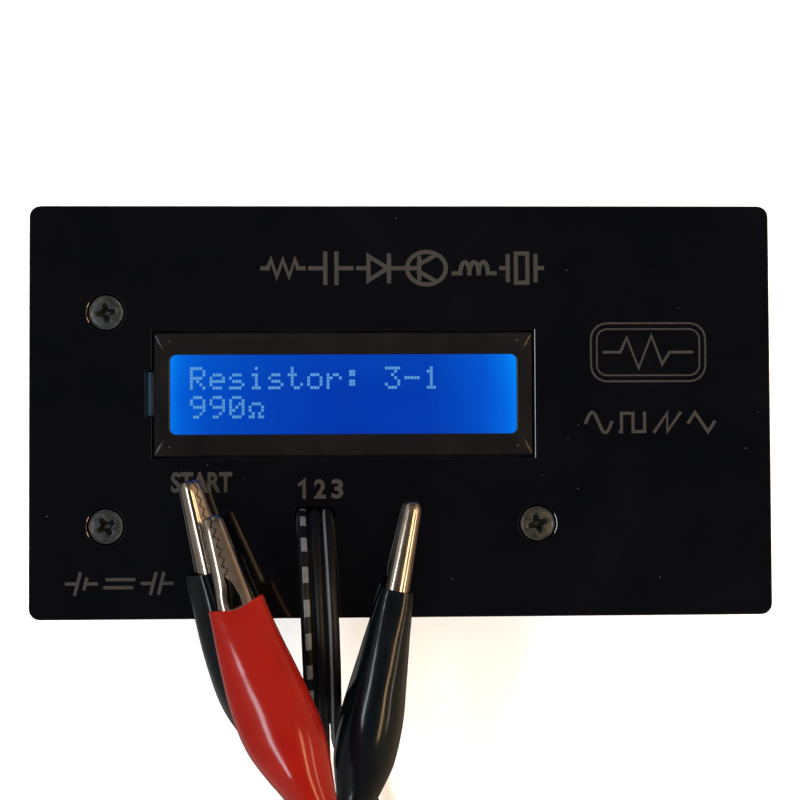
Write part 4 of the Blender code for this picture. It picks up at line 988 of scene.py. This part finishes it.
def read_out(looks):
    """The display's dots: two lines of five by seven characters."""
    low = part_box("lcd_glass")[1].z + DOT_LIFT
    for line, (top, text) in enumerate(READ_OUT, 1):
        bm = bmesh.new()
        for column, letter in enumerate(text):
            for row, dots in enumerate(GLYPHS.get(letter, "").split()):
                for place, dot in enumerate(dots):
                    if dot == "#":
                        left = READ_OUT_LEFT + column * CHARACTER_PITCH + place * DOT_PITCH_X
                        back = top - row * DOT_PITCH_Y
                        right, front = left + DOT_WIDTH, back - DOT_DEPTH
                        outline = [(left, front), (right, front), (right, back), (left, back)]
                        add_prism(bm, outline, low, low + DOT_HEIGHT)
        obj = new_object(f"read_out_line_{line}", bm, looks["dot"])
        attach(obj, TESTER)


# ---- panel, markings, screws

MARK_HEIGHT = 0.00002
LAYER_STEP = 0.000006
LETTER_BOLDNESS = 0.034
# name, text, and the rectangle that it fills on the panel: left, right, bottom, top
LETTERING = [
    ("mark_start", "START", (-0.0426, -0.0314, -0.0149, -0.01105)),
    ("mark_lead_2", "2", (-0.0164, -0.0142, -0.0161, -0.0125)),
    ("mark_lead_3", "3", (-0.0132, -0.0110, -0.0161, -0.0125)),
]
FIGURE_ONE = [(-0.0190, -0.01345), (-0.0182, -0.01278), (-0.0182, -0.0158)]
BADGE_CENTRE = (0.04575, 0.01075)
BADGE_SIZE = (0.0214, 0.0108, 0.0030)  # width, depth, corner radius
BADGE_LINES = [(0.0, 0.00034), (-0.0011, 0.00030)]  # growth, line width
BADGE_PULSE = [
    (-0.0082, 0.0),
    (-0.0052, 0.0),
    (-0.0040, 0.0027),
    (-0.0018, -0.0030),
    (0.0006, 0.0031),
    (0.0026, -0.0022),
    (0.0040, 0.0),
    (0.0082, 0.0),
]


def text_mesh(name, text, rectangle, look):
    """Generic lettering, fitted to a rectangle on the panel."""
    data = bpy.data.curves.new(name, "FONT")
    data.body = text
    data.offset = LETTER_BOLDNESS
    data.extrude = 0.01
    data.resolution_u = 6
    source = link(name, data)
    bpy.context.view_layer.update()
    mesh = bpy.data.meshes.new_from_object(source.evaluated_get(bpy.context.evaluated_depsgraph_get()))
    bpy.data.objects.remove(source, do_unlink=True)
    left, right, bottom, top = rectangle
    xs = [v.co.x for v in mesh.vertices]
    ys = [v.co.y for v in mesh.vertices]
    x0, x1, y0, y1 = min(xs), max(xs), min(ys), max(ys)
    for v in mesh.vertices:
        x = left + (right - left) * (v.co.x - x0) / (x1 - x0)
        y = bottom + (top - bottom) * ((v.co.y - y0) / (y1 - y0))
        v.co = (x, y, PANEL_TOP - MARK_HEIGHT if v.co.z < 0 else PANEL_TOP + MARK_HEIGHT)
    mesh.materials.append(look)
    return link(name, mesh)


def add_stroke(bm, points, width, closed=False, layer=0):
    """A flat engraved line with mitred corners. Lines that cross lie on layers a hair apart."""
    low, top = PANEL_TOP - MARK_HEIGHT, PANEL_TOP + MARK_HEIGHT + layer * LAYER_STEP
    points = [Vector(p) for p in points]
    last = len(points) - 1
    rings = []
    for i, place in enumerate(points):
        forward = (points[(i + 1) % len(points)] - place).normalized()
        backward = (place - points[i - 1]).normalized()
        end = Vector((0.0, 0.0))
        if not closed and i == 0:
            backward = forward
            end = -forward * width / 2
        if not closed and i == last:
            forward = backward
            end = backward * width / 2
        mean = (forward + backward).normalized()
        across = Vector((-mean.y, mean.x))
        stretch = 1 / max(0.5, math.sqrt(max(0.0, (1 + forward.dot(backward)) / 2)))
        left = place + across * stretch * width / 2 + end
        right = place - across * stretch * width / 2 + end
        corners = ((left, low), (right, low), (right, top), (left, top))
        rings.append([bm.verts.new((p.x, p.y, z)) for p, z in corners])
    loft(bm, rings + [rings[0]] if closed else rings, not closed)


def arc(radius, start, end, steps):
    angles = [math.radians(start + (end - start) * i / steps) for i in range(steps + 1)]
    return [(radius * math.cos(a), radius * math.sin(a)) for a in angles]


# Symbols are lists of (points, closed) in a box from (-1, -1) to (1, 1)


def level(start, end, y=0.0):
    return [(start, y), (end, y)], False


def upright(x, reach):
    return [(x, -reach), (x, reach)], False


def waves():
    """One period each of a sine, a square, a sawtooth and a triangle."""
    steps = 24
    sine = [(-1 + 2 * i / steps, math.sin(2 * math.pi * i / steps)) for i in range(steps + 1)]
    square = [(-1, -0.9), (-0.9, -0.9), (-0.9, 0.9), (0, 0.9), (0, -0.9), (0.9, -0.9), (0.9, 0.9)]
    saw = [(-1, -0.9), (0, 0.9), (0, -0.9), (1, 0.9)]
    triangle = [(-1, 0), (-0.5, 0.95), (0.5, -0.95), (1, 0)]
    return [[(points, False)] for points in (sine, square, saw, triangle)]


def symbols():
    """Schematic symbols of the usual components and of a supply."""
    zigzag = [(-1, 0), (-0.72, 0), (-0.58, 0.5), (-0.30, -0.5), (0, 0.5)]
    zigzag += [(-x, y) for x, y in zigzag[-2::-1]]
    hump = [(x, 2.9 * y) for x, y in arc(0.225, 180, 0, 12)]
    coil = [([(x + 0.45 * (k - 1), y - 0.30) for x, y in hump], False) for k in range(3)]
    box = [(-0.28, -0.85), (0.28, -0.85), (0.28, 0.85), (-0.28, 0.85)]
    return {
        "resistor": [(zigzag, False)],
        "capacitor": [level(-1, -0.27), upright(-0.27, 0.85), upright(0.27, 0.85), level(0.27, 1)],
        "diode": [
            level(-1, -0.5),
            ([(-0.5, 0.7), (0.45, 0), (-0.5, -0.7)], True),
            upright(0.5, 0.75),
            level(0.5, 1),
        ],
        "transistor": [
            (arc(0.95, 0, 345, 23), True),
            level(-1.25, -0.35),
            upright(-0.35, 0.6),
            ([(-0.35, 0.22), (0.40, 0.72)], False),
            ([(-0.35, -0.22), (0.40, -0.72)], False),
        ],
        "inductor": [*coil, level(-1.0, -0.67, -0.30), level(0.67, 1.0, -0.30)],
        "crystal": [level(-1, -0.68), upright(-0.68, 0.7), (box, True), upright(0.68, 0.7), level(0.68, 1)],
        "battery": [level(-1, -0.27), upright(-0.27, 0.9), upright(0.27, 0.42), level(0.27, 1)],
        "direct": [
            level(-0.9, 0.9, 0.35),
            level(-0.9, -0.45, -0.35),
            level(-0.22, 0.22, -0.35),
            level(0.45, 0.9, -0.35),
        ],
    }


def row_of(row, start, pitch, half_size, width, slant=0.0):
    """The lines of symbols side by side, the first centred on start."""
    lines = []
    half_width, half_height = half_size
    for index, symbol in enumerate(row):
        centre = start[0] + index * pitch
        for layer, (points, closed) in enumerate(symbol):
            placed = [
                (centre + x * half_width + slant * y * half_height, start[1] + y * half_height)
                for x, y in points
            ]
            lines.append((placed, width, closed, layer))
    return lines


def badge():
    """A double outline with round corners around a pulse."""
    (x0, y0), (width, depth, radius) = BADGE_CENTRE, BADGE_SIZE
    lines = []
    for growth, line in BADGE_LINES:
        edge = rounded_outline(width + 2 * growth, depth + 2 * growth, radius + growth, 5, BADGE_CENTRE)
        lines.append((edge, line, True))
    return [*lines, ([(x0 + x, y0 + y) for x, y in BADGE_PULSE], 0.00050)]


def panel_markings(looks):
    """Generic engraving only: the key's word, the leads' numbers, and rows of circuit symbols."""
    marks = [text_mesh(name, text, rectangle, looks["engraving"]) for name, text, rectangle in LETTERING]
    known = symbols()
    title = [known[each] for each in ("resistor", "capacitor", "diode", "transistor", "inductor", "crystal")]
    supply = [known[each] for each in ("battery", "direct", "capacitor")]
    for name, lines in (
        ("mark_lead_1", [(FIGURE_ONE, 0.00066)]),
        ("mark_title_symbols", row_of(title, (-0.0220, 0.02645), 0.00885, (0.0038, 0.0032), 0.00078)),
        ("mark_outline_badge", badge()),
        ("mark_wave_symbols", row_of(waves(), (0.0364, -0.0023), 0.0064, (0.0024, 0.0019), 0.00058)),
        ("mark_supply_symbols", row_of(supply, (-0.0589, -0.0314), 0.0069, (0.0027, 0.0021), 0.0006, 0.25)),
    ):
        bm = bmesh.new()
        for line in lines:
            add_stroke(bm, *line)
        marks.append(new_object(name, bm, looks["engraving"]))
    for obj in marks:
        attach(obj, TESTER)


SCREW_TURNS = (8.0, 32.0, 18.0)  # degrees
SHANK_RADIUS = 0.0013
HEAD_RIM = 0.0003
HEAD_SIDES = 48
CROSS_HALF_LENGTH = 0.00175
CROSS_HALF_WIDTH = 0.00046
# size, height above the head's face
CROSS_TAPER = [(1.12, 0.0004), (1.0, -0.0001), (0.72, -0.0009), (0.30, -0.0016)]
# inset from the head's edge, drop below its face
HEAD_PROFILE = [
    (0.00004, 0.00034),
    (0.0, 0.00026),
    (0.00003, 0.00008),
    (0.00014, 0.0),
    (0.00034, 0.00002),
    (0.00046, 0.00009),
    (0.00058, 0.00006),
    (0.00075, 0.00003),
]


def cross_outline(centre, turn, half_length, half_width):
    """A cross with narrowed ends and wide inner corners."""
    outline = []
    for quarter in range(4):
        angle = math.radians(turn + 90 * quarter)
        along = Vector((math.cos(angle), math.sin(angle)))
        across = Vector((-along.y, along.x))
        end = Vector(centre) + along * half_length
        corner = Vector(centre) + along * half_width * 1.45 + across * half_width * 1.45
        outline += [end - across * half_width * 0.8, end + across * half_width * 0.8, corner]
    return outline


def panel_screw(number, turn, looks):
    """A countersunk head with a turned rim and a tapered cross recess."""
    low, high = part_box(f"panel_screw_{number}")
    centre = ((low.x + high.x) / 2, (low.y + high.y) / 2)
    head = (high.x - low.x) / 2
    top = high.z
    bm = bmesh.new()
    profile = [(SHANK_RADIUS, low.z), (SHANK_RADIUS, top - HEAD_RIM - (head - SHANK_RADIUS))]
    profile += [(head - inset, top - drop) for inset, drop in HEAD_PROFILE] + [(0.0012, top - 0.00001)]
    outlines = [(circle_outline(radius, centre, HEAD_SIDES), height) for radius, height in profile]
    loft(bm, [add_ring(bm, outline, height) for outline, height in outlines])
    obj = new_object(f"panel_screw_head_{number}", bm, looks["black_zinc"], 50.0)
    tool = bmesh.new()
    rings = []
    for size, height in CROSS_TAPER:
        outline = cross_outline(centre, turn, CROSS_HALF_LENGTH * size, CROSS_HALF_WIDTH * size)
        rings.append(add_ring(tool, outline, top + height))
    loft(tool, rings)
    cut_out(obj, tool)
    bevel_edges(obj, 0.00005, 2, 28.0)
    bpy.context.view_layer.update()
    apply_modifiers(obj)
    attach(obj, TESTER)
    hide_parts(f"panel_screw_{number}")


# ---- carried-over CAD nodes

# Each look, and how the names of its nodes start. The first start that fits decides.
NODE_LOOKS = [
    ("acrylic", "face_panel"),
    ("case", "case_frame", "rear_cover"),
    ("rubber", "rubber_foot"),
    ("black_zinc", "cover_screw", "panel_screw"),
    ("brass", "standoff"),
    ("bright_steel", "board_nut"),
    ("display", "lcd_glass"),
    ("bezel", "lcd_bezel"),
    ("guide", "lcd_backlight"),
    ("board", "lcd_board", "main_board"),
    ("header", "lcd_header", "lead_terminal"),
    ("chip", "chip_socket", "microcontroller", "voltage_regulator"),
    ("can", "crystal"),
    ("sleeve", "smoothing_capacitor"),
    ("trimmer", "trimmer_body"),
    ("rotor", "trimmer_rotor"),
    ("switch", "start_switch_body"),
    ("button", "start_button"),
    ("snap", "battery_snap"),
    ("wire_red", "battery_wire_red"),
    ("wire_black", "battery_wire_black"),
    ("foil", "battery"),
    ("lead", "test_lead"),
]
# The same for the ends of the clips' names
CLIP_LOOKS = [
    ("nickel", "_jaw", "_pin"),
    ("spring", "_spring"),
    ("boot_red", "2_boot"),
    ("boot_black", "_boot"),
]
SOFTENED = {
    "face_panel": 0.00022,
    "case_frame": 0.00030,
    "rear_cover": 0.00035,
    "start_button": 0.00008,
    "rubber_foot": 0.00015,
    "cover_screw": 0.00006,
}


def dress_cad_nodes(looks):
    for name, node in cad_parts.items():
        fitting = [look for look, *starts in NODE_LOOKS if name.startswith(tuple(starts))]
        fitting += [look for look, *ends in CLIP_LOOKS if name.endswith(tuple(ends))]
        if not node.material_slots:
            node.data.materials.append(looks[fitting[0]])
        for slot in node.material_slots:
            slot.material = looks[fitting[0]]
        width = next((SOFTENED[key] for key in SOFTENED if name.startswith(key)), None)
        if width and not node.hide_render:
            soften(node, width)


def soften(node, width):
    """Joins the node's split corners and rounds its edges, without touching its own mesh."""
    weld = node.modifiers.new("weld", "WELD")
    weld.merge_threshold = WELD_DISTANCE
    plain_faces = node.modifiers.new("plain", "DECIMATE")
    plain_faces.decimate_type = "DISSOLVE"
    plain_faces.angle_limit = math.radians(1.0)
    bevel_edges(node, width).use_clamp_overlap = True
    normals = node.modifiers.new("normals", "WEIGHTED_NORMAL")
    normals.keep_sharp = True


# ---- stage

FLOOR_HALF_SIZE = 4.0
FLOOR_LEVEL = -0.0002
LIT_MIDDLE = Vector((0.0, -0.02, 0.03))


def add_floor():
    """A pale table that glows more and more towards its far edge."""
    bm = bmesh.new()
    bmesh.ops.create_grid(bm, x_segments=1, y_segments=1, size=FLOOR_HALF_SIZE)
    look = Look("floor", (0.93, 0.93, 0.93), 0.9)
    look.vary("Base Color", look.noise(0.4, 2.0), (0.3, 0.92), (0.7, 0.94))
    look.shader.inputs["Emission Color"].default_value = (1.0, 1.0, 1.0, 1.0)
    far = look.add("ShaderNodeVectorMath", {0: look.place}, operation="LENGTH").outputs["Value"]
    fill = {"Value": far, "From Min": 1.2, "From Max": 3.2, "To Min": 0.16, "To Max": 0.85}
    look.set("Emission Strength", look.add("ShaderNodeMapRange", fill).outputs["Result"])
    obj = new_object("floor", bm, look.material)
    obj.location.z = FLOOR_LEVEL
    obj.visible_glossy = False


def add_area(name, place, along, size, colour, watts):
    """A soft light that faces the tester. Its second side runs along the given direction."""
    data = bpy.data.lights.new(name, "AREA")
    data.shape = "RECTANGLE"
    data.size, data.size_y = size
    data.color = colour
    data.energy = watts
    obj = link(name, data)
    away = (Vector(place) - LIT_MIDDLE).normalized()
    upright = (Vector(along) - away * away.dot(Vector(along))).normalized()
    facing = Matrix((upright.cross(away), upright, away)).transposed().to_4x4()
    obj.matrix_world = Matrix.Translation(place) @ facing
    return obj


def add_lights():
    for name, y in (("back_softbox", 1.45), ("front_softbox", -1.5)):
        softbox = add_area(name, (0.0, y, 0.95), (1, 0, 0), (0.6, 1.6), (1.0, 1.0, 1.0), 36.0)
        softbox.visible_glossy = False
    add_area("left_strip", (-0.62, 0.0, 0.95), (0, 1, 0), (0.13, 0.9), (0.80, 0.90, 1.0), 5.6)
    add_area("right_strip", (0.52, 0.0, 0.95), (0, 1, 0), (0.10, 1.0), (1.0, 0.64, 0.30), 5.4)
    add_area("side_strip", (1.05, 0.0, 0.70), (0, 1, 0), (0.08, 1.0), (1.0, 0.82, 0.62), 2.5)


SURROUND = (0.93, 0.93, 0.93)
ROOM_BY_HEIGHT = [
    (0.0, (0.10, 0.10, 0.10)),
    (0.45, (0.062, 0.057, 0.053)),
    (0.76, (0.195, 0.157, 0.124)),
    (0.90, (0.195, 0.157, 0.124)),
    (0.955, (0.040, 0.037, 0.037)),
]
ROOM_FROM_LEFT_TO_RIGHT = [
    (0.03, (0.16, 0.15, 0.14)),
    (0.16, (0.48, 0.45, 0.41)),
    (0.34, (0.0, 0.0, 0.0)),
    (0.68, (0.0, 0.0, 0.0)),
    (0.88, (0.46, 0.30, 0.15)),
]


def add_world():
    """A dim room with a cream and a gold side for reflections, and a pale surround past the floor."""
    world = bpy.data.worlds.new("studio")
    world.use_nodes = True
    room = Nodes(world.node_tree)
    place = room.add("ShaderNodeTexCoord").outputs["Generated"]
    split = room.add("ShaderNodeSeparateXYZ", {0: place})
    height = room.ramp(split.outputs["Z"], ROOM_BY_HEIGHT)
    across = room.add("ShaderNodeMapRange", {"From Min": -1.0, "Value": split.outputs["X"]})
    sides = room.ramp(across.outputs["Result"], ROOM_FROM_LEFT_TO_RIGHT)
    seen = room.add("ShaderNodeLightPath").outputs["Is Camera Ray"]
    colour = room.mix(seen, room.mix(1.0, height, sides, "ADD"), SURROUND)
    room.feed(room.tree.nodes["Background"].inputs[0], colour)
    bpy.context.scene.world = world
    bpy.context.scene.view_settings.view_transform = "Standard"


def build():
    add_camera()
    looks = all_looks()
    leads = add_leads(looks)
    clip_pieces = add_clips(looks)
    bezel(looks)
    bezel_marks(looks)
    read_out(looks)
    panel_markings(looks)
    for number, turn in enumerate(SCREW_TURNS, 1):
        panel_screw(number, turn, looks)
    dress_cad_nodes(looks)
    add_floor()
    add_lights()
    add_world()


build()
